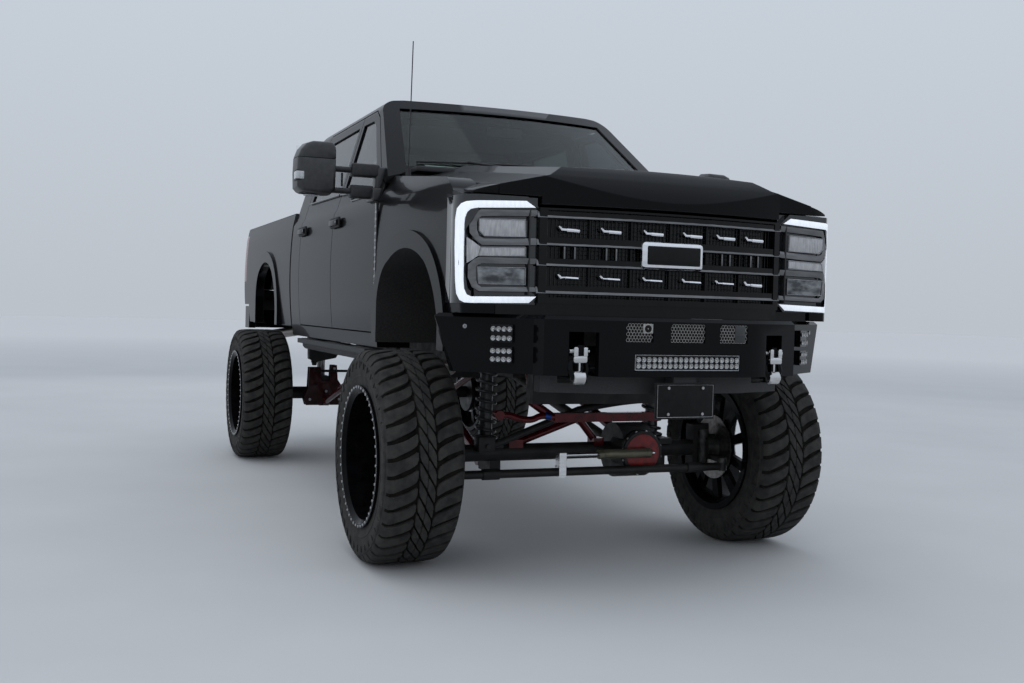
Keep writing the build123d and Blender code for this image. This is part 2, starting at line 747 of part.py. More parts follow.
def make_bed():
    body = bed_solid()
    load = block(BED_REAR - 50, BED_FRONT - 45, -BED_INNER, BED_INNER, BED_FLOOR_Z, BED_RAIL_Z + 50)
    under = block(BED_REAR + 50, BED_FRONT + 10, -SILL_Y + 30, SILL_Y - 30, 900, BED_FLOOR_Z - BED_FLOOR_T)
    body = body - load - under
    for side in (-1, 1):
        low, high = sorted((side * (BED_INNER + 30), side * (SIDE_Y - 60)))
        body = body - block(BED_REAR + 150, BED_FRONT - 30, low, high, 900, BED_RAIL_Z - 60)
    house = shifted(arch_points(REAR_ARCH_TOP, REAR_ARCH_HALF, 42, ARCH_LOW))
    house = slab_xz(house, HOUSE_INNER, BED_INNER + 40)
    house = house & block(-6000, 0, 0, 1200, BED_FLOOR_Z - BED_FLOOR_T, BED_RAIL_Z)
    pocket = shifted(arch_points(REAR_ARCH_TOP, REAR_ARCH_HALF, 14, 900))
    pocket = slab_xz(pocket, HOUSE_INNER + 28, 1200)
    lip = shifted(arch_points(REAR_ARCH_TOP, REAR_ARCH_HALF, FLARE_W, BED_LOW_Z))
    lip = slab_xz(lip, SIDE_Y - 50, FLARE_OUT)
    hole = slab_xz(shifted(arch_points(REAR_ARCH_TOP, REAR_ARCH_HALF, 0, 900)), 900, 1200)
    for turn in (False, True):
        pieces = [other_side(p) if turn else p for p in (house, pocket, lip, hole)]
        body = body + pieces[0]
        body = body - (pieces[1] & block(-6000, 0, -SIDE_Y + 60, SIDE_Y - 60, 800, 2000))
        body = body + pieces[2] - pieces[3]
    gate_gap = block(BED_REAR - 50, BED_REAR + GATE_T + SHUT_GAP, -GATE_HALF - SHUT_GAP,
                     GATE_HALF + SHUT_GAP, GATE_LOW_Z - SHUT_GAP, BED_RAIL_Z + 50)
    sill_cut = block(BED_REAR - 50, BED_REAR + 220, -SIDE_Y - 50, SIDE_Y + 50, 900, 1290)
    body = body - gate_gap - sill_cut
    for side in (-1, 1):
        low, high = sorted((side * (LAMP_IN_Y - FIT), side * 1100))
        lamp_hole = block(BED_REAR - 50, BED_REAR + REAR_LAMP_D + FIT, low, high,
                          REAR_LAMP_LOW - FIT, REAR_LAMP_HIGH + FIT)
        body = body - lamp_hole
    for x in (-3300, -3750, -4380, -4850):
        body = body + block(x - 40, x + 40, -RAIL_OUT - 90, RAIL_OUT + 90,
                            FRAME_REAR_TOP, BED_FLOOR_Z - BED_FLOOR_T)
    return body


def shifted(points):
    """An outline about the rear axle, given again from the front axle."""
    moved = []
    for point in points:
        if point[0] == "via":
            moved.append(("via", point[1] - WHEELBASE, point[2]))
        else:
            moved.append((point[0] - WHEELBASE, point[1]))
    return moved


def make_tail_lamp():
    box = block(BED_REAR, BED_REAR + REAR_LAMP_D, LAMP_IN_Y, 1100, REAR_LAMP_LOW, REAR_LAMP_HIGH)
    return bed_solid() & box


def make_tailgate():
    gate = block(BED_REAR, BED_REAR + GATE_T, -GATE_HALF, GATE_HALF, GATE_LOW_Z, BED_RAIL_Z - 4)
    recess = block(BED_REAR - 10, BED_REAR + 7, -GATE_HALF + 70, GATE_HALF - 70,
                   GATE_LOW_Z + 70, BED_RAIL_Z - 130)
    handle = block(BED_REAR - 10, BED_REAR + 28, -110, 110, BED_RAIL_Z - 100, BED_RAIL_Z - 40)
    gate = gate - recess - handle
    pin_end = GATE_HALF + SHUT_GAP - FIT
    pin = rod((BED_REAR, GATE_HALF - 20, GATE_LOW_Z), (BED_REAR, pin_end, GATE_LOW_Z), GATE_PIN_R)
    return gate + pin + other_side(pin)


def make_rear_bumper():
    rear = -WHEELBASE - REAR_REACH
    plan = [
        (rear, -560), (rear, 560), (rear + 30, 700), (rear + 30, 900), (rear + 120, 985),
        (rear + 330, 985), (rear + 330, 925), (rear + 150, 925), (rear + 110, 860),
        (rear + 110, -860), (rear + 150, -925), (rear + 330, -925), (rear + 330, -985),
        (rear + 120, -985), (rear + 30, -900), (rear + 30, -700),
    ]
    bar = slab_xy(plan, 1070, 1272)
    dip = block(rear - 20, rear + 60, -230, 230, 1130, 1300)
    plate = block(rear + 60, rear + 64, -152, 152, 1135, 1255)
    brackets = block(rear + 100, FRAME_END, RAIL_IN, RAIL_OUT, 1205, 1265)
    bar = bar - dip + plate + brackets + other_side(brackets)
    tube = block(rear + 20, rear + 420, -38, 38, 975, 1051) - block(rear + 10, rear + 430, -32, 32, 981, 1045)
    pin_hole = rod((rear + HITCH_PIN_IN, -60, 1013), (rear + HITCH_PIN_IN, 60, 1013), HITCH_PIN_R)
    tube = tube - pin_hole
    beam = block(rear + 150, rear + 220, -RAIL_OUT - 10, RAIL_OUT + 10, 1051, 1121)
    drop = block(rear + 120, rear + 270, RAIL_OUT, RAIL_OUT + 12, 1051, 1285)
    tie = block(rear + 100, rear + 150, RAIL_OUT - 60, RAIL_OUT + 12, 1075, 1121)
    return bar + tube + beam + drop + other_side(drop) + tie + other_side(tie)


# Frame, engine, shafts, tank and exhaust

def make_frame():
    low = FRAME_TOP - FRAME_H
    rail = [
        (690, 1020), (690, 1170), (300, 1200), (-450, 1200), (-590, FRAME_TOP), (-3050, FRAME_TOP),
        (-3300, FRAME_REAR_TOP), (FRAME_END, FRAME_REAR_TOP), (FRAME_END, FRAME_REAR_TOP - 155),
        (-3400, FRAME_REAR_TOP - FRAME_H), (-3050, low), (-650, low), (-450, 1010), (300, 1010),
    ]
    side = slab_xz(rail, RAIL_IN, RAIL_OUT)
    frame = side + other_side(side)
    frame = frame + block(DROP_X + 40, DROP_X + 120, -RAIL_OUT, RAIL_OUT, BEAM_LOW, 1020)
    # Crossmembers: x, bottom, height
    for x, z, tall in (
        (600, 1040, 90), (-2000, MEMBER_TOP - 50, 50), (-2270, FRAME_TOP - 85, 80),
        (-3000, 1040, 90), (-3560, 1230, 90), (-4550, 1230, 90), (-5080, 1240, 90),
    ):
        frame = frame + block(x - 45, x + 45, -RAIL_IN - 20, RAIL_IN + 20, z, z + tall)
    hanger = block(-2045, -1955, RAIL_IN + 8, RAIL_IN + 20, MEMBER_TOP - 50, low + 10)
    frame = frame + hanger + other_side(hanger)
    for x in (-750, -1450, -2150, -2780):
        mount = Pos(FA + x, RAIL_OUT + 40, (low + 100 + UNDER_Z) / 2) * Cylinder(42, UNDER_Z - low - 100)
        arm = block(x - 45, x + 45, RAIL_OUT - 10, RAIL_OUT + 60, low + 100, low + 140)
        frame = frame + mount + arm + other_side(mount + arm)
    for x, z_low, z_top in ((-110, SPRING_TOP, 1342), (-WHEELBASE - 40, FRAME_REAR_TOP - 160, FRAME_REAR_TOP - 58)):
        tower = block(x - 60, x + 60, RAIL_OUT - 10, SHOCK_Y + 45, z_low, z_top)
        tower = tower - block(x - 42, x + 42, SHOCK_Y - 22, SHOCK_Y + 90, z_low - 10, z_top - 20)
        frame = frame + tower + other_side(tower)
    return frame


def make_powertrain():
    engine = block(-560, 330, -330, 330, 1215, 1730) + block(-420, 250, -160, 160, 960, 1216)
    box = block(-1150, -559, -170, 170, 900, 1160) + block(-1900, -1149, -110, 110, 900, 1120)
    case = block(-2200, -1899, -110, 300, MEMBER_TOP, 1110)
    mount = block(-150, -50, 150, RAIL_IN, 1100, 1216)
    front = rod((-1899, 230, 940), (-DIFF_R - 32, FRONT_DIFF_Y, HUB_Z + 14), 30)
    rear = rod((-2199, 0, 985), (-WHEELBASE + DIFF_R + 36, 0, HUB_Z + 14), 45)
    return engine + box + case + mount + other_side(mount), front, rear


def make_exhaust():
    pipe = bent_rod([(-1120, -240, 985), (-1400, -280, 950), (-3080, -290, 950), (-3750, -320, 1115),
                     (-4450, -320, 1115), (-4780, -620, 1050), (-4960, -850, 1000)], 45)
    can = rod((-1920, -284, 950), (-1440, -284, 950), 100)
    for x in (-2700, -1500):
        pipe = pipe + block(x - 15, x + 15, -RAIL_IN, -280, 987, 999)
    return pipe + can


def make_tank():
    tank = block(-2700, -1550, RAIL_OUT + 45, 755, 840, 1072)
    tank = tank.fillet(45, tank.edges().filter_by(Axis.X))
    for x in (-1800, -2400):
        tank = tank + block(x - 30, x + 30, RAIL_OUT, RAIL_OUT + 120, 1000, 1060)
    return tank


# Axles, links, shock absorbers and steering

def make_front_axle():
    tube = rod((0, -KINGPIN_Y + 72, HUB_Z), (0, KINGPIN_Y - 72, HUB_Z), AXLE_TUBE_R)
    housing = rod((0, FRONT_DIFF_Y - 95, HUB_Z), (0, FRONT_DIFF_Y + 95, HUB_Z), DIFF_R)
    snout = rod((-DIFF_R - 20, FRONT_DIFF_Y, HUB_Z + 10), (0, FRONT_DIFF_Y, HUB_Z), 62)
    cover = rod((0, FRONT_DIFF_Y, HUB_Z), (DIFF_R + 25, FRONT_DIFF_Y, HUB_Z), 118)
    axle = tube + housing + snout + cover
    for side in (-1, 1):
        y = side * KINGPIN_Y
        web = side * (KINGPIN_Y - KNUCKLE_R - RUN_GAP - 15)
        low, high = sorted((web - side * 15, web + side * 15))
        web_plate = block(-40, 40, low, high, HUB_Z - 135, HUB_Z + 135)
        low, high = sorted((web, y))
        for z_low in (-135, 103):
            arm = block(-36, 36, low, high, HUB_Z + z_low, HUB_Z + z_low + 32)
            eye = Pos(FA, y, HUB_Z + z_low + 16) * Cylinder(36, 32)
            bore = Pos(FA, y, HUB_Z + z_low + 16) * Cylinder(16 + FIT, 60)
            web_plate = web_plate + arm + eye - bore
        axle = axle + web_plate
        seat = block(-150, 60, side * SHOCK_Y - 40, side * SHOCK_Y + 40, HUB_Z + 30, HUB_Z + 62)
        bracket = block(-150, 20, side * 500 - 30, side * 500 + 30, HUB_Z - 105, HUB_Z + 32)
        axle = axle + seat + bracket
    return axle


def make_rear_axle():
    end = REAR_TRACK / 2 - HUB_FACE_IN
    x = -WHEELBASE
    tube = rod((x, -end, HUB_Z), (x, end, HUB_Z), 52)
    housing = rod((x, -110, HUB_Z), (x, 110, HUB_Z), DIFF_R + 15)
    snout = rod((x, 0, HUB_Z), (x + DIFF_R + 20, 0, HUB_Z + 10), 70)
    axle = tube + housing + snout
    for side in (-1, 1):
        axle = axle + rod((x, side * (end - 60), HUB_Z), (x, side * (end - 30), HUB_Z), 175)
        axle = axle + rod((x, side * (end - 30), HUB_Z), (x, side * end, HUB_Z), 92)
        axle = axle + block(x - 90, x + 110, side * SHOCK_Y - 40, side * SHOCK_Y + 40,
                            HUB_Z - 105, HUB_Z + 150)
    return axle


def make_suspension_links():
    """The dark red arms from each axle to the frame."""
    low = FRAME_TOP - FRAME_H
    shapes = []
    for axle_x, end_x in ((-150, -1500), (-WHEELBASE + 110, -2450)):
        toward = -1 if end_x < axle_x else 1
        a = (axle_x + toward * 34, 500, HUB_Z - 60)
        b = (end_x, RAIL_OUT - 20, low - 70)
        arm = rod(a, b, LINK_R)
        eye_a = rod((a[0], 470, a[2]), (a[0], 530, a[2]), 33)
        eye_b = rod((b[0], b[1] - 32, b[2]), (b[0], b[1] + 32, b[2]), 33)
        hanger = block(end_x - 60, end_x + 60, RAIL_OUT - 20 - 46, RAIL_OUT - 20 + 46, low - 130, low)
        hanger = hanger - block(end_x - 80, end_x + 80, RAIL_OUT - 20 - 34, RAIL_OUT - 20 + 34,
                                low - 140, low - 26)
        bolt = rod((b[0], b[1] - 40, b[2]), (b[0], b[1] + 40, b[2]), 12)
        shapes.append(arm + eye_a + eye_b + hanger + bolt)
    return shapes


def make_drop_member():
    """The red crossmember that hangs from both rails, just ahead of the axle."""
    rail_low = 1010 - FIT
    legs = []
    for side in (-1, 1):
        foot = (DROP_X, side * DROP_HALF, (DROP_LOW + DROP_HIGH) / 2)
        knee = (DROP_X - 20, side * 410, 830)
        top = (DROP_X - 20, side * 430, rail_low - 12)
        pad = block(DROP_X - 70, DROP_X + 30, side * 432 - 36, side * 432 + 36, rail_low - 14, rail_low)
        legs.append(bent_rod([foot, knee, top], 22) + pad)
    beam = block(DROP_X - 24, DROP_X + 24, -DROP_HALF, DROP_HALF, DROP_LOW, DROP_HIGH)
    return beam + legs[0] + legs[1]


def make_axle_truss():
    """Red braces that meet over the axle tube."""
    z = HUB_Z + AXLE_TUBE_R
    braces = bent_rod([(0, -380, z), (0, -10, TRUSS_TOP), (0, 100, z)], 20)
    feet = block(-40, 40, -430, -350, z - 20, z + 24) + block(-40, 40, 70, 130, z - 20, z + 24)
    tube = rod((0, -600, HUB_Z), (0, 600, HUB_Z), AXLE_TUBE_R + FIT)
    return braces + feet - tube - block(-100, 100, -500, 500, HUB_Z - 60, z - 24)


def make_damper():
    """The steering damper's body, on a bracket of the axle's cover; its open end lets the rod slide."""
    x = STEER_ARM
    body = rod((x, DAMPER_IN, DAMPER_Z), (x, DAMPER_OUT, DAMPER_Z), DAMPER_R)
    body = body - rod((x, DAMPER_IN - 10, DAMPER_Z), (x, DAMPER_OUT - 20, DAMPER_Z), DAMPER_BORE)
    cover = DIFF_R + 25 + FIT
    return body + block(cover, x - 14, FRONT_DIFF_Y - 24, FRONT_DIFF_Y + 24, DAMPER_Z - 18, DAMPER_Z + 18)


def make_shocks():
    shapes = []
    rear_top = FRAME_REAR_TOP - 78
    for x, foot, top in ((-110, HUB_Z + 62, 1322), (-WHEELBASE - 40, HUB_Z + 150, rear_top)):
        middle = foot + (top - foot) * 0.55
        body = rod((x, SHOCK_Y, foot), (x, SHOCK_Y, middle), 34)
        shaft = rod((x, SHOCK_Y, middle - 5), (x, SHOCK_Y, top), 14)
        shapes.append(body + shaft)
    coil = rod((-110, SHOCK_Y, HUB_Z + 62), (-110, SHOCK_Y, SPRING_TOP - 8), SPRING_R)
    cap = rod((-110, SHOCK_Y, SPRING_TOP - 12), (-110, SHOCK_Y, SPRING_TOP - FIT), SPRING_R + 12)
    shapes[0] = shapes[0] + coil + cap
    return shapes


def make_knuckle():
    """The left steering knuckle: kingpin block, hub, caliper and steering arm."""
    y = KINGPIN_Y
    face = FRONT_TRACK / 2 - HUB_FACE_IN
    upright = Pos(FA, y, HUB_Z) * Cylinder(KNUCKLE_R - 10, 206 - 2 * FIT)
    pins = Pos(FA, y, HUB_Z) * Cylinder(16, 270)
    hub = rod((0, y, HUB_Z), (0, face - FIT, HUB_Z), 72)
    hub = hub - block(-100, 100, y - 200, y, HUB_Z - 100, HUB_Z + 100)
    plan = [(0, y + 20), (0, y + 48), (100, y + 40), (STEER_ARM, y + 22), (STEER_ARM, y - 22), (90, y + 2)]
    arm = slab_xy(plan, HUB_Z - 60, HUB_Z - 34)
    eye = Pos(FA + STEER_ARM, y, HUB_Z - 47) * Cylinder(27, 26)
    caliper = block(-205, -120, y + 20, face - 12, HUB_Z - 90, HUB_Z + 100)
    bracket = block(-130, -20, y + 20, y + 44, HUB_Z - 60, HUB_Z + 70)
    return upright + pins + hub + arm + eye + caliper + bracket


def make_tie_rod():
    y = KINGPIN_Y
    z = HUB_Z - 60 - FIT - 22
    bar = rod((STEER_ARM, -y + 20, z), (STEER_ARM, y - 20, z), 22)
    for side in (-1, 1):
        bar = bar + Pos(FA + STEER_ARM, side * y, z) * Cylinder(26, 44)
    clamp = block(STEER_ARM - 24, STEER_ARM + 24, DAMPER_CLAMP_Y - 20, DAMPER_CLAMP_Y + 20,
                  z - 27, DAMPER_Z + 14)
    slider = rod((STEER_ARM, DAMPER_CLAMP_Y, DAMPER_Z), (STEER_ARM, 150, DAMPER_Z), DAMPER_ROD_R)
    return bar + clamp + slider


# Wheels and tyres

def ring(profile):
    """A turned piece about the Y axis, from a table of radius and y."""
    face = face_of(profile, lambda r, y: Vector(r, y, 0))
    return revolve(face, axis=Axis.Y)


def make_wheel():
    """A deep-dish rim, made at the origin with its outside on +Y."""
    half = RIM_W / 2
    inside = BARREL_R - BARREL_WALL
    barrel = ring([
        (RIM_R, half), (RIM_R, half - FLANGE_T), (BARREL_R, half - FLANGE_T), (BARREL_R, -half + FLANGE_T),
        (RIM_R, -half + FLANGE_T), (RIM_R, -half), (inside + 6, -half), (inside, -half + 12),
        (inside, half - 20), (inside + 22, half),
    ])
    hub_y = -HUB_FACE_IN
    face = ring([
        (1, hub_y), (120, hub_y), (inside + 4, hub_y + 26),
        (inside + 4, hub_y + 52), (120, hub_y + 34), (1, hub_y + 34),
    ])
    face = face + Pos(0, hub_y + 17, 0) * Rot(90, 0, 0) * Cylinder(40, 34)
    for index in range(SPOKES):
        angle = 360 / SPOKES * index
        outline = Polygon((150, 24), (292, 62), (292, -62), (150, -24), align=None)
        window = extrude(Plane.XZ * outline, 400, both=True)
        face = face - Rot(0, angle, 0) * window
    return barrel + face


def facet_disc(apothem, facets):
    """A flat many-sided face about the Y axis, with a facet at the bottom."""
    return Plane.XZ * RegularPolygon(apothem, facets, major_radius=False, rotation=180 / facets)


def facet_drum(apothem, facets, half):
    """A many-sided drum about the Y axis, from -half to half."""
    return extrude(facet_disc(apothem, facets), half, both=True)


def make_tyre():
    """A tyre of flat facets with staggered tread notches, made at the origin."""
    half = TYRE_W / 2
    seat = RIM_W / 2 - FLANGE_T - FIT
    middle = half - SHOULDER_IN
    tyre = facet_drum(TYRE_R, TYRE_FACETS, middle)
    lean = degrees(atan2(SHOULDER_FALL, SHOULDER_IN))
    for side in (-1, 1):
        shoulder = extrude(facet_disc(TYRE_R, TYRE_FACETS), SHOULDER_IN, dir=(0, -1, 0), taper=lean)
        shoulder = Pos(0, -middle, 0) * shoulder
        tyre = tyre + (other_side(shoulder) if side > 0 else shoulder)
    tyre = tyre - facet_drum(BARREL_R + FIT, BORE_FACETS, half + 10)
    room = facet_drum(RIM_R + 3, BORE_FACETS, half + 10) - facet_drum(RIM_R + 20, BORE_FACETS, seat)
    tyre = tyre - room
    notches = []
    for index in range(TYRE_FACETS):
        side = 1 if index % 2 else -1
        notch = Rot(0, 0, side * NOTCH_LEAN) * Box(NOTCH_W, half, 60)
        notch = Pos(0, side * (NOTCH_INNER_Y + half / 2), TYRE_R - NOTCH_DEPTH + 30) * notch
        notches.append(Rot(0, 360 / TYRE_FACETS * index, 0) * notch)
    return tyre.cut(*notches)


# Steps, mirrors, antenna and the cab's inside

def make_step():
    tube = rod((-760, 930, 1010), (-2700, 930, 1010), 38)
    board = block(-2680, -780, 895, 1010, 1020, 1052)
    step = tube + board
    for x in (-900, -1700, -2500):
        step = step + block(x - 30, x + 30, 768, 930, 1000, 1030)
        step = step + block(x - 30, x + 30, 768, 780, 1000, UNDER_Z - 10)
    return step


def make_mirror():
    head = block(-835, -695, 1196, 1440, 1912, 2230)
    head = head.fillet(34, head.edges())
    arm_low = rod((-765, 960, 1935), (-765, 1230, 1975), 17)
    arm_high = rod((-790, 950, 1992), (-775, 1230, 2085), 17)
    foot = slab_xz([(-850, 1895), (-700, 1895), (-700, 1975), (-780, 2016), (-850, 2060)], 900, 1004)
    return head + ((arm_low + arm_high + foot) - cab_solid(-FIT, -FIT, 1500, 0, CAB_BACK))


def make_antenna():
    base = rod((-405, ANTENNA_Y, 1990), (-405, ANTENNA_Y, 2050), 15)
    wing_top = [
        (-700, 1800), (DOOR_FRONT + SHUT_GAP, WING_REAR_Z),
        (WING_FALL_X, WING_FALL_Z), (WING_FALL_X, 1800),
    ]
    base = base - slab_xz(wing_top, -1100, 1100)
    whip = rod((-405, ANTENNA_Y, 2040), (-370, ANTENNA_Y, 2740), 3)
    return base + whip


def make_dashboard():
    face = [
        (FIREWALL - 60, 1600), (FIREWALL - 60, 2050), (-780, 2050), (-960, 1985),
        (-985, 1900), (-930, 1700), (-860, 1600),
    ]
    dash = slab_xz(face, -830, 830) & cab_solid(WALL + 6, PILLAR + 6, 1500, -300, CAB_BACK)
    console = block(-1500, -930, -150, 150, FLOOR_Z, 1640)
    column = rod((-940, 400, 1840), (-1130, 400, 1905), 30)
    lean = Plane(origin=(FA - 1140, 400, 1908), z_dir=(-1, 0, 0.36))
    wheel = lean * Torus(180, 15)
    spokes = lean * Box(40, 350, 16) + lean * Cylinder(52, 34)
    return dash + console, column + wheel + spokes


def make_seats():
    seats = []
    for side in (-1, 1):
        y = side * 420
        base = block(-1880, -1330, y - 230, y + 230, FLOOR_Z, 1470)
        cushion = block(-1860, -1300, y - 260, y + 260, 1470, 1610)
        back = slab_xz([(-1700, 1600), (-1860, 1600), (-1975, 2190), (-1870, 2190)], y - 255, y + 255)
        head = block(-2000, -1890, y - 130, y + 130, 2200, 2360)
        post = block(-1950, -1930, y - 60, y + 60, 2150, 2220)
        seats.append(base + cushion + back + head + post)
    base = block(-2860, -2380, -700, 700, FLOOR_Z, 1450)
    cushion = block(-2850, -2330, -760, 760, 1450, 1580)
    back = slab_xz([(-2720, 1570), (-2860, 1570), (-2950, 2150), (-2850, 2150)], -760, 760)
    bench = base + cushion + back
    for y in (-440, 440):
        bench = bench + block(-2960, -2870, y - 125, y + 125, 2140, 2290)
    seats.append(bench)
    return seats


os.makedirs("parts", exist_ok=True)

write("chassis_frame", make_frame())
write("powertrain", *make_powertrain())
write("exhaust", make_exhaust())
write("fuel_tank", make_tank())
write("front_axle", make_front_axle())
write("rear_axle", make_rear_axle())
links = make_suspension_links()
links = links + [other_side(link) for link in links]
write("suspension_links", *links, make_drop_member(), make_axle_truss())
shocks = make_shocks()
write("shock_absorbers", *shocks, *[other_side(shock) for shock in shocks], make_damper())
write("tie_rod", make_tie_rod())
save_pair("knuckle", make_knuckle())

write("cab_shell", make_cab())
write("cab_glass", *make_cab_glass())
save_pair("front_door", make_door(FRONT_DOOR, FRONT_WINDOW))
save_pair("rear_door", make_door(REAR_DOOR, REAR_WINDOW))
save_pair("front_door_glass", make_side_glass(FRONT_WINDOW))
save_pair("rear_door_glass", make_side_glass(REAR_WINDOW))
save_pair("mirror", make_mirror())
write("dashboard", *make_dashboard())
write("seats", *make_seats())
write("antenna", make_antenna())

fender = make_fender()
write("front_fenders", fender, other_side(fender))
write("hood", make_hood())
write("grille", make_grille())
headlamp = make_headlamp()
write("headlamps", headlamp, other_side(headlamp))
write("front_bumper", make_front_bumper())
write("bumper_lamps", *make_bumper_lamps())
write("bed_box", make_bed())
write("tailgate", make_tailgate())
tail_lamp = make_tail_lamp()
write("tail_lamps", tail_lamp, other_side(tail_lamp))
write("rear_bumper", make_rear_bumper())
step = make_step()
write("running_boards", step, other_side(step))

wheel = make_wheel()
tyre = make_tyre()
# Wheel places: name, x, y of the wheel's middle, outside towards +Y or -Y
WHEEL_PLACES = [
    ("front_left", FA, FRONT_TRACK / 2, 1),
    ("front_right", FA, -FRONT_TRACK / 2, -1),
    ("rear_left", RA, REAR_TRACK / 2, 1),
    ("rear_right", RA, -REAR_TRACK / 2, -1),
]
for name, x, y, out in WHEEL_PLACES:
    turn = Rot(0, 0, 0 if out > 0 else 180)
    write("wheel_" + name, Pos(x, y, HUB_Z) * turn * wheel)
    write("tyre_" + name, Pos(x, y, HUB_Z) * turn * tyre)
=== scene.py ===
import json
from math import cos, pi, radians, sin, tau

import bpy
from mathutils import Matrix, Vector

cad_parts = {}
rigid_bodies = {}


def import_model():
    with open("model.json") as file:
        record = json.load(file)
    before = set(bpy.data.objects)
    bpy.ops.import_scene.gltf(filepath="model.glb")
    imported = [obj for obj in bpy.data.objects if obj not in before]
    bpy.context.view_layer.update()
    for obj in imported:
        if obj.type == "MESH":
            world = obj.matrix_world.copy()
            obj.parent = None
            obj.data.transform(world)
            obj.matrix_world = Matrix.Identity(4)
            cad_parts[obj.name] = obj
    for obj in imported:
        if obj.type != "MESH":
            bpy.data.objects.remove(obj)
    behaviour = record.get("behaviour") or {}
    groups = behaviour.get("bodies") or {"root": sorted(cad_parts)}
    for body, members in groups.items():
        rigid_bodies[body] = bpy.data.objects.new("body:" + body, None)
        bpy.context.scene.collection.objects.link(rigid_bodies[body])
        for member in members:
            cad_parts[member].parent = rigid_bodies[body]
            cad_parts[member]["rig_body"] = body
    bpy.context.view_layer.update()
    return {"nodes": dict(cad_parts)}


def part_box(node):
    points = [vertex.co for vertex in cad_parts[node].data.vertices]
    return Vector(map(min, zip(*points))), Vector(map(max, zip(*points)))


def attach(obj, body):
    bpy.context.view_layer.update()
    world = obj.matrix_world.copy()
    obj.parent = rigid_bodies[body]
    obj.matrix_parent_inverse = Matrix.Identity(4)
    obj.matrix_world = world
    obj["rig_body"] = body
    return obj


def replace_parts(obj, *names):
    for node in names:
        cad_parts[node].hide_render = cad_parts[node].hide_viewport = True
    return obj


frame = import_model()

bpy.ops.object.select_all(action="DESELECT")


# View: the eye is as low as a crouching person's, ahead of the truck and off its right corner.
# Lengths along the truck are counted from its front axle, as on the drawings.
front_low, front_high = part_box("tyre_front_left")
rear_low, rear_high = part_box("tyre_rear_left")
FRONT_AXLE = (front_low[0] + front_high[0]) / 2
REAR_AXLE = (rear_low[0] + rear_high[0]) / 2
HUB_HEIGHT = front_high[2] / 2
EYE_AHEAD = 5.403
EYE_ASIDE = -2.657
EYE_HEIGHT = 1.295
EYE_YAW = 2.748
EYE_PITCH = -0.0282
EYE_ROLL = 0.0261
LENS = 38.69


def at(ahead, left, height):
    """A place on the truck, ahead of the front axle, left of the middle and above the ground."""
    return Vector((FRONT_AXLE + ahead, left, height))


forward = Vector((cos(EYE_YAW) * cos(EYE_PITCH), sin(EYE_YAW) * cos(EYE_PITCH), sin(EYE_PITCH)))
level_side = Vector((sin(EYE_YAW), -cos(EYE_YAW), 0))
level_up = level_side.cross(forward)
side = level_side * cos(EYE_ROLL) + level_up * sin(EYE_ROLL)
up = level_up * cos(EYE_ROLL) - level_side * sin(EYE_ROLL)
eye = at(EYE_AHEAD, EYE_ASIDE, EYE_HEIGHT)
bpy.ops.object.camera_add()
camera = bpy.context.object
camera.matrix_world = Matrix([*zip(side, up, -forward, eye), (0, 0, 0, 1)])
camera.data.lens = LENS
camera.data.clip_end = 300
bpy.context.scene.camera = camera
bpy.context.scene.view_settings.view_transform = "Standard"


# Studio: a plain pale floor under a wide overcast sky and large soft boxes.
# Mirrors and glass see the same pale surroundings as the eye does.
FLOOR_SIZE = 160.0
FLOOR_DARK = (0.485, 0.48985, 0.4947)
FLOOR_LIGHT = (0.51, 0.5151, 0.5202)
# The floor pales from near to far, so that it meets the sky without an edge
FLOOR_NEAR = 7.0
FLOOR_FAR = 34.0
FLOOR_FAR_SHADE = (0.78, 0.76, 0.74)
SKY_LOW = (0.5, 0.54, 0.59, 1)
SKY_HIGH = (0.66, 0.73, 0.83, 1)
SKY_HIGH_AT = 0.6
SKY_LIGHT = 1.0
# Soft boxes: name, place, point it faces, length, height, watts
SOFT_BOXES = [
    ("overhead", (1.0, -1.0, 9.0), (0.5, 0.0, 1.0), 12.0, 8.0, 260),
    ("front_right", (9.0, -8.0, 5.0), (2.0, 0.0, 1.0), 8.0, 5.0, 110),
    ("front_left", (8.5, 8.0, 4.5), (2.0, 0.5, 0.8), 8.0, 5.0, 60),
    ("right_side", (-2.0, -11.0, 5.0), (-1.0, 0.0, 1.4), 12.0, 5.0, 70),
    ("left_side", (-2.0, 11.0, 5.0), (-1.0, 0.0, 1.4), 12.0, 5.0, 70),
    ("behind", (-11.0, 0.0, 5.0), (-2.0, 0.0, 1.2), 8.0, 5.0, 80),
]


def add_node(tree, kind, values={}, wires={}, **settings):
    """A new shader node, with its constants and the sockets that feed it under its inputs' names."""
    node = tree.nodes.new("ShaderNode" + kind)
    for name, value in settings.items():
        setattr(node, name, value)
    for name, value in values.items():
        node.inputs[name].default_value = value
    for name, source in wires.items():
        tree.links.new(source, node.inputs[name])
    return node


def pattern(tree, grain, stretch=(1, 1, 1), kind="noise"):
    """A pattern in space whose marks are grain metres across, longer along a stretched axis."""
    place = add_node(tree, "TexCoord").outputs["Object"]
    scale = add_node(tree, "Mapping", {"Scale": [1 / (grain * longer) for longer in stretch]}, {"Vector": place})
    wires = {"Vector": scale.outputs["Vector"]}
    if kind == "cells":
        return add_node(tree, "TexVoronoi", {"Scale": 1.0}, wires).outputs["Distance"]
    return add_node(tree, "TexNoise", {"Scale": 1.0, "Detail": 4.0}, wires).outputs["Fac"]


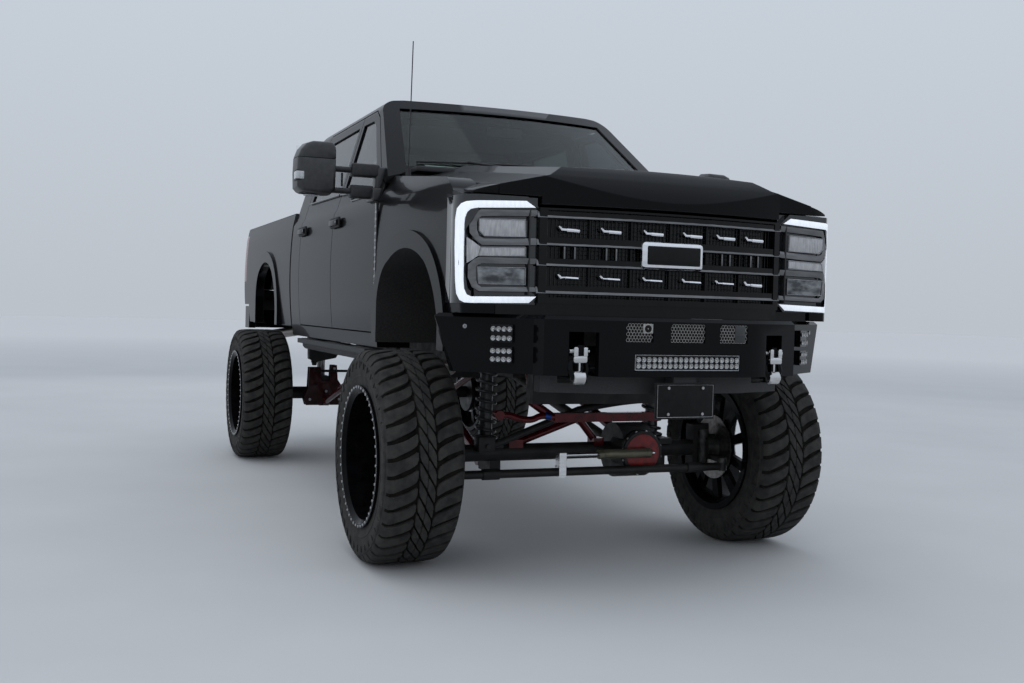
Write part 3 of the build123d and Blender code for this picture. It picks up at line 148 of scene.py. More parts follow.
def finish(name, dark, light, grain, rough, metal=0.0, coat=0.0, shine=0.5, stretch=(1, 1, 1),
           low=0.35, high=0.65, kind="noise"):
    """A new material whose colour wanders between two shades, in marks grain metres across."""
    material = bpy.data.materials.new(name)
    material.use_nodes = True
    tree = material.node_tree
    shader = tree.nodes["Principled BSDF"]
    middle = [(a + b) / 2 for a, b in zip(dark, light)]
    plain = {"Base Color": (*middle, 1), "Roughness": rough, "Metallic": metal, "Specular IOR Level": shine,
             "Coat Weight": coat, "Coat Roughness": 0.02, "Coat IOR": 1.36}
    for socket, value in plain.items():
        shader.inputs[socket].default_value = value
    ramp = add_node(tree, "ValToRGB", wires={"Fac": pattern(tree, grain, stretch, kind)})
    for stop, place, shade in zip(ramp.color_ramp.elements, (low, high), (dark, light)):
        stop.position = place
        stop.color = (*shade, 1)
    tree.links.new(ramp.outputs["Color"], shader.inputs["Base Color"])
    return material


bpy.ops.mesh.primitive_plane_add(size=FLOOR_SIZE)
floor = bpy.context.object
floor.name = "studio_floor"
floor_finish = finish("pale_floor", FLOOR_DARK, FLOOR_LIGHT, 1.4, 0.8, shine=0.2)
tree = floor_finish.node_tree
floor_colour = tree.nodes["Principled BSDF"].inputs["Base Color"]
floor_place = add_node(tree, "TexCoord").outputs["Object"]
from_middle = add_node(tree, "VectorMath", wires={0: floor_place}, operation="LENGTH").outputs["Value"]
far_off = add_node(tree, "MapRange", {"From Min": FLOOR_NEAR, "From Max": FLOOR_FAR}, {"Value": from_middle})
wires = {"Factor": far_off.outputs["Result"], "A": floor_colour.links[0].from_socket}
paler = add_node(tree, "Mix", {"B": (*FLOOR_FAR_SHADE, 1)}, wires, data_type="RGBA")
tree.links.new(paler.outputs["Result"], floor_colour)
floor.data.materials.append(floor_finish)

for name, place, toward, length, height, watts in SOFT_BOXES:
    look = (Vector(toward) - Vector(place)).to_track_quat("-Z", "Y").to_euler()
    bpy.ops.object.light_add(type="AREA", location=place, rotation=look)
    lamp = bpy.context.object
    lamp.name = "soft_box_" + name
    lamp.data.shape = "RECTANGLE"
    lamp.data.size = length
    lamp.data.size_y = height
    lamp.data.energy = watts
    lamp.visible_glossy = False

sky = bpy.data.worlds.new("overcast_sky")
bpy.context.scene.world = sky
sky.use_nodes = True
tree = sky.node_tree
heading = add_node(tree, "SeparateXYZ", wires={"Vector": add_node(tree, "TexCoord").outputs["Generated"]})
sky_ramp = add_node(tree, "ValToRGB", wires={"Fac": heading.outputs["Z"]})
sky_ramp.color_ramp.elements[0].color = SKY_LOW
sky_ramp.color_ramp.elements[1].color = SKY_HIGH
sky_ramp.color_ramp.elements[1].position = SKY_HIGH_AT
rays = add_node(tree, "LightPath").outputs
seen = add_node(tree, "Math", wires={0: rays["Is Camera Ray"], 1: rays["Is Glossy Ray"]}, operation="MAXIMUM")
wires = {0: seen.outputs["Value"], 1: rays["Is Transmission Ray"]}
passed = add_node(tree, "Math", wires=wires, operation="MAXIMUM")
level = add_node(tree, "MapRange", {"To Min": SKY_LIGHT, "To Max": 1.0}, {"Value": passed.outputs["Value"]})
tree.links.new(sky_ramp.outputs["Color"], tree.nodes["Background"].inputs["Color"])
tree.links.new(level.outputs["Result"], tree.nodes["Background"].inputs["Strength"])


# Chassis: two painted steel rails with crossmembers, shock towers and bolted body mounts.
# The paint is satin black with road dust caked low down.
DUST_SHADE = (0.16, 0.14, 0.115)
SMOOTH_ANGLE = radians(35)
MOUNT_BOLTS = [(-0.75, 0.51), (-1.45, 0.51), (-2.15, 0.51), (-2.78, 0.51)]
MOUNT_TOP = 1.085


def wander_rough(material, low, high, grain):
    """Lets the gloss wander between two roughnesses."""
    tree = material.node_tree
    values = {"From Min": 0.3, "From Max": 0.7, "To Min": low, "To Max": high}
    spread = add_node(tree, "MapRange", values, {"Value": pattern(tree, grain)})
    tree.links.new(spread.outputs["Result"], tree.nodes["Principled BSDF"].inputs["Roughness"])


def bump(material, grain, depth, stretch=(1, 1, 1), kind="noise"):
    """Raises a fine relief, depth metres high, over any relief already there."""
    tree = material.node_tree
    normal = tree.nodes["Principled BSDF"].inputs["Normal"]
    wires = {"Height": pattern(tree, grain, stretch, kind)}
    if normal.is_linked:
        wires["Normal"] = normal.links[0].from_socket
    relief = add_node(tree, "Bump", {"Distance": depth}, wires)
    tree.links.new(relief.outputs["Normal"], normal)


def dust(material, top, most, grain=0.12):
    """Road dust that thins out upwards and is gone at a height of top metres."""
    tree = material.node_tree
    colour = tree.nodes["Principled BSDF"].inputs["Base Color"]
    height = add_node(tree, "SeparateXYZ", wires={"Vector": add_node(tree, "TexCoord").outputs["Object"]})
    fall = add_node(tree, "MapRange", {"From Max": top, "To Min": most, "To Max": 0.0}, {"Value": height.outputs["Z"]})
    wires = {0: fall.outputs["Result"], 1: pattern(tree, grain)}
    share = add_node(tree, "Math", wires=wires, operation="MULTIPLY")
    wires = {"Factor": share.outputs["Value"], "A": colour.links[0].from_socket}
    mix = add_node(tree, "Mix", {"B": (*DUST_SHADE, 1)}, wires, data_type="RGBA")
    tree.links.new(mix.outputs["Result"], colour)


def alone(piece):
    """Makes a piece the only one selected."""
    bpy.ops.object.select_all(action="DESELECT")
    piece.select_set(True)
    bpy.context.view_layer.objects.active = piece


def apply_all(piece):
    """Applies every modifier of a piece, in order."""
    alone(piece)
    for modifier in list(piece.modifiers):
        bpy.ops.object.modifier_apply(modifier=modifier.name)


def soften(piece, width, segments=2, angle=32):
    """Rolls the sharp edges of a piece to a small radius and shades it smooth between them."""
    rolled = piece.modifiers.new("edges", "BEVEL")
    rolled.width = width
    rolled.segments = segments
    rolled.limit_method = "ANGLE"
    rolled.angle_limit = radians(angle)
    apply_all(piece)
    bpy.ops.object.shade_smooth_by_angle(angle=SMOOTH_ANGLE)
    return piece


def open_mesh(piece):
    """Opens a piece for editing, with all of it selected."""
    alone(piece)
    bpy.ops.object.mode_set(mode="EDIT")
    bpy.ops.mesh.select_all(action="SELECT")


def close_mesh():
    """Ends the editing of a piece."""
    bpy.ops.object.mode_set(mode="OBJECT")


def added(data):
    """A new object for a mesh or a curve."""
    piece = bpy.data.objects.new(data.name, data)
    bpy.context.scene.collection.objects.link(piece)
    alone(piece)
    return piece


def joined(pieces):
    """Several pieces made one object; a single piece stays as it is."""
    if not isinstance(pieces, list):
        return pieces
    alone(pieces[0])
    for piece in pieces:
        piece.select_set(True)
    if len(pieces) > 1:
        bpy.ops.object.join()
    return pieces[0]


def copied(piece, place):
    """A copy of a piece with its own mesh, moved by a matrix and kept the right way out."""
    copy = added(piece.data.copy())
    copy.data.transform(place)
    if place.determinant() < 0:
        copy.data.flip_normals()
    return copy


def repeated(piece, places):
    """Copies of one finished piece at many places or turns, joined; the piece itself is used up."""
    turns = [place if isinstance(place, Matrix) else Matrix.Translation(place) for place in places]
    copies = [copied(piece, turn) for turn in turns]
    bpy.data.objects.remove(piece)
    return joined(copies)


def set_down(piece):
    """Puts a piece's place, turn and scale into its mesh."""
    alone(piece)
    bpy.ops.object.transform_apply(location=True, rotation=True, scale=True)
    return piece


def add_rod(start, end, radius, sides=24, edge=0.0, end_radius=None):
    """A round bar between two points, or a cone where the far end has its own radius."""
    start = Vector(start)
    run = Vector(end) - start
    far = radius if end_radius is None else end_radius
    bpy.ops.mesh.primitive_cone_add(vertices=sides, radius1=radius, radius2=far, depth=run.length,
                                    location=start + run / 2, rotation=run.to_track_quat("Z", "Y").to_euler())
    return soften(set_down(bpy.context.object), edge or radius * 0.06, 1, 40)


def settle(name, pieces, *materials, body="truck"):
    """Gives a finished piece, or several joined, a name and materials and fixes it to a body."""
    piece = joined(pieces)
    piece.name = name
    if materials:
        piece.data.materials.clear()
        for material in materials:
            piece.data.materials.append(material)
    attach(piece, body)
    return piece


def reshelled(node, edge, *materials, angle=32, segments=2):
    """A copy of a node's own shape with merged faces and softly rolled edges, in its stead."""
    source = frame["nodes"][node]
    piece = added(source.data.copy())
    open_mesh(piece)
    bpy.ops.mesh.customdata_custom_splitnormals_clear()
    bpy.ops.mesh.remove_doubles(threshold=0.00005)
    bpy.ops.mesh.dissolve_limited(angle_limit=radians(0.4))
    close_mesh()
    if edge:
        soften(piece, edge, segments, angle)
    else:
        bpy.ops.object.shade_smooth_by_angle(angle=SMOOTH_ANGLE)
    weighted = piece.modifiers.new("flat_faces", "WEIGHTED_NORMAL")
    weighted.keep_sharp = True
    apply_all(piece)
    settle(node + "_finished", piece, *materials, body=source["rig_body"])
    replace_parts(piece, node)
    return piece


frame_black = finish("satin_frame_paint", (0.004, 0.004, 0.0045), (0.012, 0.0115, 0.011), 0.09, 0.42, shine=0.3)
wander_rough(frame_black, 0.36, 0.6, 0.05)
bump(frame_black, 0.004, 0.0005)
dust(frame_black, 1.3, 0.06)
bolt_zinc = finish("zinc_bolts", (0.32, 0.31, 0.3), (0.5, 0.5, 0.51), 0.004, 0.32, metal=1.0)
reshelled("chassis_frame", 0.004, frame_black)
bolt = add_rod((0, 0, -0.012), (0, 0, 0.0), 0.02, 6)
places = [at(x, y * s, MOUNT_TOP) for x, y in MOUNT_BOLTS for s in (-1, 1)]
settle("body_mount_bolts", repeated(bolt, places), bolt_zinc)


# Engine, gearbox and shafts: cast aluminium and iron, grey and dusty, with rough faces.
# Cooling fins and a bolted pan break up the lower block.
FIN_LOW = -0.36
FIN_GAP = 0.055
FIN_THICK = 0.012


def add_block(low, high, edge=0.0, segments=2):
    """A block between two corners on the truck, its edges rolled."""
    low, high = at(*low), at(*high)
    bpy.ops.mesh.primitive_cube_add(size=1, location=(low + high) / 2, scale=high - low)
    piece = set_down(bpy.context.object)
    return soften(piece, edge, segments) if edge else piece


cast_grey = finish("cast_iron", (0.016, 0.015, 0.014), (0.05, 0.048, 0.045), 0.06, 0.6, metal=0.4)
bump(cast_grey, 0.006, 0.0012)
dust(cast_grey, 1.5, 0.16)
reshelled("powertrain", 0.012, cast_grey)
fins = [add_block((x, -0.168, 0.985), (x + FIN_THICK, 0.168, 1.19), 0.003)
        for x in [FIN_LOW + i * FIN_GAP for i in range(11)]]
settle("engine_ribs", fins, cast_grey)


# Exhaust: aluminised steel tube, mottled grey and straw, with a polished rolled tip.
# The tube is bent from one length and hangs from the frame on rubber loops.
TIP_PLACE = (-4.96, -0.85, 1.0)
TIP_SWING = 218
TIP_DROOP = 4
# Tip: along it, radius
TIP_PROFILE = [
    (-0.09, 0.046), (-0.09, 0.05), (0.0, 0.054), (0.008, 0.055), (0.011, 0.052), (0.008, 0.049), (0.0, 0.048),
]


def add_turned(profile, axis="Y", steps=48, place=(0, 0, 0)):
    """A turned piece: a closed profile of (along the axis, radius), spun about an axis through place."""
    bpy.ops.mesh.primitive_circle_add(vertices=len(profile), radius=1)
    piece = bpy.context.object
    for vertex, (along, radius) in zip(piece.data.vertices, profile):
        vertex.co = (along, 0, radius) if axis == "X" else (radius, along, 0)
    open_mesh(piece)
    bpy.ops.mesh.spin(steps=steps, angle=tau, center=(0, 0, 0), axis=(1, 0, 0) if axis == "X" else (0, 1, 0))
    bpy.ops.mesh.select_all(action="SELECT")
    bpy.ops.mesh.remove_doubles(threshold=0.00002)
    bpy.ops.mesh.normals_make_consistent(inside=False)
    close_mesh()
    piece.data.transform(Matrix.Translation(place))
    bpy.ops.object.shade_smooth_by_angle(angle=radians(30))
    return piece


pipe_steel = finish("aluminised_steel", (0.16, 0.13, 0.11), (0.36, 0.34, 0.33), 0.16, 0.38, metal=1.0,
                    stretch=(3, 1, 1))
bump(pipe_steel, 0.003, 0.0002)
reshelled("exhaust", 0.003, pipe_steel)
tip = add_turned(TIP_PROFILE)
tip.data.transform(Matrix.Rotation(radians(TIP_SWING), 4, "Z"))
tip.data.transform(Matrix.Rotation(radians(TIP_DROOP), 4, "X"))
tip.data.transform(Matrix.Translation(at(*TIP_PLACE)))
polished = finish("polished_steel", (0.5, 0.49, 0.48), (0.68, 0.68, 0.69), 0.03, 0.12, metal=1.0, stretch=(1, 5, 1))
settle("exhaust_tip", tip, polished)


# Fuel tank: blow-moulded black plastic, slightly wavy, hung from the left rail.
# Two bent steel straps pass under it and are bolted to the rail.
tank_plastic = finish("moulded_plastic", (0.012, 0.012, 0.013), (0.028, 0.027, 0.026), 0.11, 0.55)
bump(tank_plastic, 0.05, 0.004)
bump(tank_plastic, 0.0015, 0.0004)
reshelled("fuel_tank", 0.006, tank_plastic)
straps = []
for x in (-1.95, -2.3):
    straps.append(add_block((x, 0.507, 0.836), (x + 0.032, 0.759, 0.84), 0.001))
    straps.append(add_block((x, 0.755, 0.838), (x + 0.032, 0.759, 1.06), 0.001))
settle("tank_straps", straps, frame_black)


# Front axle: a black tube with a red cover on its differential, ringed with bolts.
# A candy-red truss stands on the tube, and a black track bar runs beside it.
COVER_MIDDLE = (0.175, 0.3, 0.54)
COVER_PROFILE = [
    (-0.03, 0.002), (-0.03, 0.124), (-0.018, 0.126), (-0.014, 0.124), (-0.01, 0.112), (0.0015, 0.1), (0.0025, 0.06),
    (0.0025, 0.002),
]
COVER_BOLTS = 12
COVER_BOLT_R = 0.117
TRACK_BAR_END = [(0.115, -0.07, 0.772), (0.16, 0.03, 0.8), (0.24, 0.2, 0.835), (0.3, 0.3, 0.845)]


def finish_where(piece, index, test):
    """Gives a finish to the faces whose middle and normal pass a test."""
    for face in piece.data.polygons:
        if test(face.center, face.normal):
            face.material_index = index


def add_tube(points, radius, sides=4, smooth=True):
    """A round tube bent along a line of points."""
    line = bpy.data.curves.new("tube", "CURVE")
    line.dimensions = "3D"
    run = line.splines.new("NURBS" if smooth else "POLY")
    run.points.add(len(points) - 1)
    for point, place in zip(run.points, points):
        point.co = (*place, 1)
    if smooth:
        run.order_u = 3
        run.use_endpoint_u = True
    line.resolution_u = 6
    line.bevel_depth = radius
    line.bevel_resolution = sides
    line.use_fill_caps = True
    added(line)
    bpy.ops.object.convert(target="MESH")
    bpy.ops.object.shade_smooth_by_angle(angle=radians(40))
    return bpy.context.object


reshelled("front_axle", 0.003, frame_black)
candy_red = finish("candy_red_coat", (0.038, 0.001, 0.0022), (0.08, 0.0022, 0.0048), 0.05, 0.25, metal=0.4,
                   coat=0.5, shine=0.2)
bump(candy_red, 0.002, 0.0001)
dust(candy_red, 0.9, 0.05)
cover_red = finish("cover_red_paint", (0.11, 0.003, 0.004), (0.24, 0.006, 0.008), 0.03, 0.34, coat=0.3, shine=0.3)
dust(cover_red, 0.9, 0.15)
cover = settle("differential_cover", add_turned(COVER_PROFILE, "X", place=at(*COVER_MIDDLE)), frame_black, cover_red)
finish_where(cover, 1, lambda middle, normal: middle.x > FRONT_AXLE + COVER_MIDDLE[0] - 0.012)
bolt = add_rod((0, 0, 0), (0.008, 0, 0), 0.0075, 6)
turns = [tau * i / COVER_BOLTS + 0.2 for i in range(COVER_BOLTS)]
places = [at(0.16, COVER_MIDDLE[1] + COVER_BOLT_R * sin(a), COVER_MIDDLE[2] + COVER_BOLT_R * cos(a)) for a in turns]
settle("cover_bolts", repeated(bolt, places), bolt_zinc)
track_bar = [
    add_rod(at(0.115, -0.56, 0.59), at(0.115, -0.06, 0.775), 0.019, 20),
    add_block((0.06, -0.64, 0.56), (0.135, -0.545, 0.64), 0.008),
    add_rod(at(0.065, -0.59, 0.59), at(0.15, -0.59, 0.59), 0.014, 6),
    add_tube([at(*p) for p in TRACK_BAR_END], 0.019),
]
settle("track_bar", track_bar, frame_black)
reshelled("rear_axle", 0.003, frame_black)


# Arms, crossmember and axle braces: candy red over a bright base, under clear coat.
# A curved red bar ties the crossmember to the right side.
CURVED_BAR = [
    (0.31, -0.6, 0.77), (0.31, -0.55, 0.772), (0.31, -0.49, 0.748), (0.31, -0.42, 0.742), (0.31, -0.375, 0.766),
    (0.31, -0.31, 0.758), (0.3, -0.26, 0.753),
]
reshelled("suspension_links", 0.004, candy_red)
bar = add_tube([at(*p) for p in CURVED_BAR], 0.017)
eye_end = add_rod(at(0.285, -0.605, 0.77), at(0.335, -0.605, 0.77), 0.026, 20)
settle("curved_red_bar", [bar, eye_end], candy_red)
anodised_blue = finish("anodised_blue", (0.008, 0.03, 0.15), (0.014, 0.055, 0.26), 0.01, 0.3, metal=0.8)
settle("link_sleeve", add_rod(at(0.31, -0.352, 0.7665), at(0.31, -0.32, 0.7595), 0.0195, 20), anodised_blue)


# Rear suspension mounts: welded twin-plate towers on the axle, bolted through and coated dark red.
# A black bracket with a rubber bump stop hangs from the frame over each.
# Outlines seen from ahead: left, height
TOWER_OUTLINE = [
    (0.34, 0.44), (0.672, 0.44), (0.69, 0.5), (0.652, 0.6), (0.645, 0.765), (0.548, 0.765), (0.542, 0.65),
    (0.466, 0.65), (0.456, 0.785), (0.408, 0.785), (0.398, 0.66), (0.34, 0.57),
]
HANGER_OUTLINE = [(0.385, 1.04), (0.385, 0.9), (0.42, 0.845), (0.59, 0.812), (0.648, 0.835), (0.655, 1.04)]
# Webs between the plates: left, height, how tall
TOWER_WEBS = [(0.556, 0.56, 0.19), (0.42, 0.6, 0.17), (0.63, 0.56, 0.19)]
TOWER_BOLTS = [(0.6, 0.735), (0.432, 0.755), (0.64, 0.49), (0.385, 0.49), (0.5, 0.56)]
# Bump stop: height, radius
STOP_PROFILE = [
    (0.78, 0.002), (0.78, 0.016), (0.79, 0.022), (0.8, 0.021), (0.806, 0.027), (0.824, 0.028), (0.824, 0.002),
]
ACROSS = Matrix.Scale(-1, 4, (0, 1, 0))


def both_sides(pieces):
    """A piece, or several joined, and the mirror image across the truck, joined."""
    piece = joined(pieces)
    return joined([piece, copied(piece, ACROSS)])


def face_out(piece):
    """Turns a piece's faces the right way out."""
    open_mesh(piece)
    bpy.ops.mesh.normals_make_consistent(inside=False)
    close_mesh()


def plate(outline, front, back, edge, taper=1.0):
    """A plate with an outline of (left, height), between two places along the truck, its front drawn in."""
    bpy.ops.mesh.primitive_circle_add(vertices=len(outline), radius=1, fill_type="NGON")
    piece = bpy.context.object
    middle_y = sum(y for y, z in outline) / len(outline)
    middle_z = sum(z for y, z in outline) / len(outline)
    for vertex, (y, z) in zip(piece.data.vertices, outline):
        vertex.co = at(back, y, z)
    open_mesh(piece)
    bpy.ops.mesh.extrude_region_move(TRANSFORM_OT_translate={"value": (front - back, 0, 0)})
    close_mesh()
    for vertex in piece.data.vertices:
        if vertex.select:
            vertex.co.y = middle_y + (vertex.co.y - middle_y) * taper
            vertex.co.z = middle_z + (vertex.co.z - middle_z) * taper
    face_out(piece)
    return soften(piece, edge, 5, 40)


def stood(piece, place):
    """Stands a piece made along X upright at a place."""
    piece.data.transform(Matrix.Translation(place) @ Matrix.Rotation(radians(-90), 4, "Y"))
    return piece


tower_red = finish("tower_red_coat", (0.012, 0.0008, 0.0012), (0.032, 0.0018, 0.0028), 0.04, 0.35, coat=0.3,
                   shine=0.2)
dust(tower_red, 0.9, 0.08)
towers = [plate(TOWER_OUTLINE, x, x - 0.01, 0.003) for x in (-3.935, -4.005)]
towers += [add_block((-4.008, y, z), (-3.942, y + 0.008, z + tall), 0.002) for y, z, tall in TOWER_WEBS]
towers.append(add_rod(at(-3.94, 0.6, 0.735), at(-3.908, 0.6, 0.735), 0.022, 16))
settle("rear_towers", both_sides(towers), tower_red)
settle("tower_bar", add_rod(at(-3.918, -0.61, 0.735), at(-3.918, 0.61, 0.735), 0.011, 16), frame_black)
bolt = add_rod((-4.024, 0, 0), (-3.924, 0, 0), 0.013, 6)
settle("tower_bolts", both_sides(repeated(bolt, [at(0, y, z) for y, z in TOWER_BOLTS])), bolt_zinc)
settle("rear_hangers", both_sides(plate(HANGER_OUTLINE, -3.93, -4.02, 0.006)), frame_black)
stop = stood(add_turned(STOP_PROFILE, "X", 24), at(-3.975, 0.597, 0))
stop_rubber = finish("bump_stop_rubber", (0.008, 0.008, 0.008), (0.018, 0.017, 0.016), 0.01, 0.75)
settle("bump_stops", both_sides(stop), stop_rubber)


# Springs, shock absorbers and steering damper: satin metal bodies, hard-chromed rods, black coils.
# Each front coil winds round its shock absorber, between the axle seat and a cap under the rail.
SPRING_R = 0.052
SPRING_WIRE = 0.0085
SPRING_TURNS = 7
SPRING_LOW = 0.616
SPRING_HIGH = 0.99
SHOCK_Y = 0.51
FRONT_SHOCK_X = -0.11
REAR_SHOCK_X = -4.099
DAMPER_AHEAD = 0.21
DAMPER_HEIGHT = 0.545
# Turned parts: place along the truck, number of the finish, steps round, profile of (height, radius)
SHOCK_TURNED = [
    (FRONT_SHOCK_X, 2, 32, [(0.602, 0.002), (0.602, 0.064), (0.61, 0.066), (0.616, 0.06), (0.624, 0.036),
                            (0.97, 0.034), (0.975, 0.03), (0.975, 0.002)]),
    (FRONT_SHOCK_X, 1, 24, [(0.965, 0.002), (0.965, 0.014), (1.318, 0.014), (1.322, 0.01), (1.322, 0.002)]),
    (FRONT_SHOCK_X, 3, 36, [(0.99, 0.016), (0.99, 0.066), (0.998, 0.071), (1.009, 0.071), (1.0095, 0.016)]),
    (REAR_SHOCK_X, 0, 32, [(0.69, 0.002), (0.69, 0.03), (0.694, 0.034), (1.012, 0.034), (1.016, 0.03),
                           (1.016, 0.002)]),
    (REAR_SHOCK_X, 1, 24, [(1.01, 0.002), (1.01, 0.014), (1.278, 0.014), (1.282, 0.01), (1.282, 0.002)]),
    (REAR_SHOCK_X, 2, 24, [(0.98, 0.0345), (0.98, 0.042), (1.02, 0.043), (1.02, 0.016)]),
]
DAMPER_BODY = [
    (0.01, 0.012), (0.01, 0.024), (0.016, 0.027), (0.04, 0.027), (0.044, 0.0245), (0.296, 0.0245), (0.3, 0.027),
    (0.324, 0.027), (0.33, 0.022), (0.33, 0.002), (0.31, 0.002), (0.31, 0.012),
]


def joined_in_finishes(parts, *materials):
    """Pieces made one object that keeps the finish of each; parts are (piece, number of its finish)."""
    for piece, index in parts:
        piece.data.materials.clear()
        for material in materials:
            piece.data.materials.append(material)
        finish_where(piece, index, lambda middle, normal: True)
    return joined([piece for piece, index in parts])


shock_metal = finish("shock_body_metal", (0.2, 0.2, 0.21), (0.36, 0.36, 0.37), 0.01, 0.33, metal=1.0,
                     stretch=(0.3, 0.3, 6))
bump(shock_metal, 0.002, 0.0001)
chrome_rod = finish("hard_chrome", (0.62, 0.62, 0.64), (0.74, 0.74, 0.76), 0.02, 0.08, metal=1.0)
spring_black = finish("spring_powder_coat", (0.012, 0.012, 0.013), (0.026, 0.026, 0.027), 0.02, 0.4, coat=0.3)
damper_olive = finish("damper_paint", (0.07, 0.066, 0.042), (0.15, 0.14, 0.095), 0.04, 0.36, metal=0.5,
                      stretch=(1, 3, 1))
dust(damper_olive, 1.2, 0.3)
coil = []
for i in range(SPRING_TURNS * 12 + 1):
    rise = (SPRING_HIGH - SPRING_LOW - 2 * SPRING_WIRE) * i / (SPRING_TURNS * 12)
    angle = tau * i / 12
    coil.append((SPRING_LOW + SPRING_WIRE + rise, SPRING_R * sin(angle), SPRING_R * cos(angle)))
shock_parts = [
    (add_turned(DAMPER_BODY, "Y", 32, at(DAMPER_AHEAD, 0, DAMPER_HEIGHT)), 4),
    (add_block((0.1753, 0.282, 0.528), (0.198, 0.318, 0.562), 0.004), 0),
    (add_rod(at(DAMPER_AHEAD, 0.33, DAMPER_HEIGHT), at(DAMPER_AHEAD, 0.352, DAMPER_HEIGHT), 0.009, 16), 1),
]
for y in (-SHOCK_Y, SHOCK_Y):
    shock_parts += [(stood(add_turned(profile, "X", steps), at(x, y, 0)), index)
                    for x, index, steps, profile in SHOCK_TURNED]
    shock_parts.append((stood(add_tube(coil, SPRING_WIRE, 2), at(FRONT_SHOCK_X, y, 0)), 2))
shocks = joined_in_finishes(shock_parts, shock_metal, chrome_rod, spring_black, candy_red, damper_olive)
settle("shock_absorbers_finished", shocks)
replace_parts(shocks, "shock_absorbers")


# Steering: a black tie rod with a bright clamp for the damper's rod, and a ball joint at each end.
# Grey cast knuckles carry red brake calipers.
CLAMP_Y = -0.205
SLEEVE_PROFILE = [(-0.045, 0.0225), (-0.045, 0.029), (0.045, 0.029), (0.045, 0.0225)]
aluminium = finish("machined_aluminium", (0.62, 0.62, 0.63), (0.78, 0.78, 0.79), 0.01, 0.25, metal=1.0,
                   stretch=(1, 8, 1))
bump(aluminium, 0.0008, 0.00004, stretch=(1, 12, 1))
tie = reshelled("tie_rod", 0.003, frame_black, aluminium, chrome_rod)
finish_where(tie, 1, lambda middle, normal: abs(middle.y - CLAMP_Y) < 0.0215)
finish_where(tie, 2, lambda middle, normal: middle.y > CLAMP_Y + 0.021 and middle.z > 0.53)
bolt = add_rod((0, -0.0245, 0), (0, 0.0245, 0), 0.005, 6)
places = [at(x, CLAMP_Y, z) for x in (0.192, 0.228) for z in (0.486, 0.524)]
settle("clamp_bolts", repeated(bolt, places), bolt_zinc, body="tie_rod")
sleeves = [add_turned(SLEEVE_PROFILE, "Y", 12, at(0.21, y, 0.4577)) for y in (-0.6, 0.6)]
settle("tie_rod_sleeves", sleeves, frame_black, body="tie_rod")
knuckle_grey = finish("knuckle_casting", (0.02, 0.0195, 0.018), (0.07, 0.069, 0.065), 0.03, 0.5, metal=0.5)
bump(knuckle_grey, 0.004, 0.0008)
caliper_red = finish("caliper_red", (0.27, 0.008, 0.01), (0.44, 0.018, 0.02), 0.03, 0.28, coat=0.6)
dust(caliper_red, 1.0, 0.3)
for side_name in ("left", "right"):
    knuckle = reshelled("knuckle_" + side_name, 0.004, knuckle_grey, caliper_red)
    finish_where(knuckle, 1, lambda middle, normal: middle.x < FRONT_AXLE - 0.118)


# Wheels: forged and machined, painted gloss black, with a very deep outer dish.
# A ring of small bright bolts holds each outer lip, and eight long nuts hold the hub.
LIP_BOLTS = 48
LIP_BOLT_R = 0.3495
WHEEL_NUTS = 8
WHEEL_NUT_R = 0.085
HUB_FACE = -0.138
# Turned parts of the hub: along the axle from the hub's face, radius
NUT_PROFILE = [(0, 0.003), (0, 0.018), (0.004, 0.018), (0.006, 0.014), (0.034, 0.013), (0.04, 0.009), (0.041, 0.001)]
CAP_PROFILE = [(0, 0.002), (0, 0.062), (0.03, 0.06), (0.042, 0.052), (0.046, 0.046), (0.043, 0.038), (0.043, 0.002)]
BAND_PROFILE = [(0.04, 0.0495), (0.0475, 0.0495), (0.0475, 0.0455), (0.04, 0.0455)]
DISC_PROFILE = [
    (-0.045, 0.045), (-0.045, 0.182), (-0.0375, 0.182), (-0.0375, 0.128), (-0.0355, 0.12), (-0.0355, 0.045),
]
wheel_black = finish("wheel_gloss_black", (0.002, 0.002, 0.0026), (0.0045, 0.0045, 0.005), 0.06, 0.22, coat=0.12,
                     shine=0.05)
wander_rough(wheel_black, 0.16, 0.3, 0.1)
brake_iron = finish("brake_iron", (0.22, 0.2, 0.19), (0.36, 0.35, 0.34), 0.02, 0.35, metal=1.0)
bolt = add_rod((0, 0.196, LIP_BOLT_R), (0, 0.205, LIP_BOLT_R), 0.0072, 6)
nut = add_turned(NUT_PROFILE, "Y", 6, (0, HUB_FACE, WHEEL_NUT_R))
hub_details = joined_in_finishes([
    (repeated(bolt, [Matrix.Rotation(tau * i / LIP_BOLTS, 4, "Y") for i in range(LIP_BOLTS)]), 0),
    (repeated(nut, [Matrix.Rotation(tau * (i + 0.5) / WHEEL_NUTS, 4, "Y") for i in range(WHEEL_NUTS)]), 1),
    (add_turned(CAP_PROFILE, "Y", 40, (0, HUB_FACE, 0)), 2),
    (add_turned(BAND_PROFILE, "Y", 40, (0, HUB_FACE, 0)), 1),
    (add_turned(DISC_PROFILE, "Y", 48, (0, HUB_FACE, 0)), 3),
], bolt_zinc, chrome_rod, wheel_black, brake_iron)

# Tyres: black rubber on a plain casing, with staggered mud lugs that wrap over the shoulders.
# The rubber between the lugs is painted darker, as shade down in the grooves, and tinted a little brown with earth.
PITCHES = 40
TREAD_R = 0.54
GROOVE_R = 0.497
LUG_DEPTH = 0.02
BAR_DEPTH = 0.007
# Casing, from bead to bead over the tread: y, radius
CASING_SIDE = [
    (0.1855, 0.331), (0.1855, 0.364), (0.19, 0.39), (0.1935, 0.4), (0.1945, 0.406), (0.1925, 0.41), (0.1955, 0.43),
    (0.1965, 0.455), (0.195, 0.476), (0.1985, 0.479), (0.1985, 0.486), (0.1935, 0.49), (0.188, 0.5), (0.178, 0.515),
    (0.15, 0.5225), (0.08, 0.5245),
]
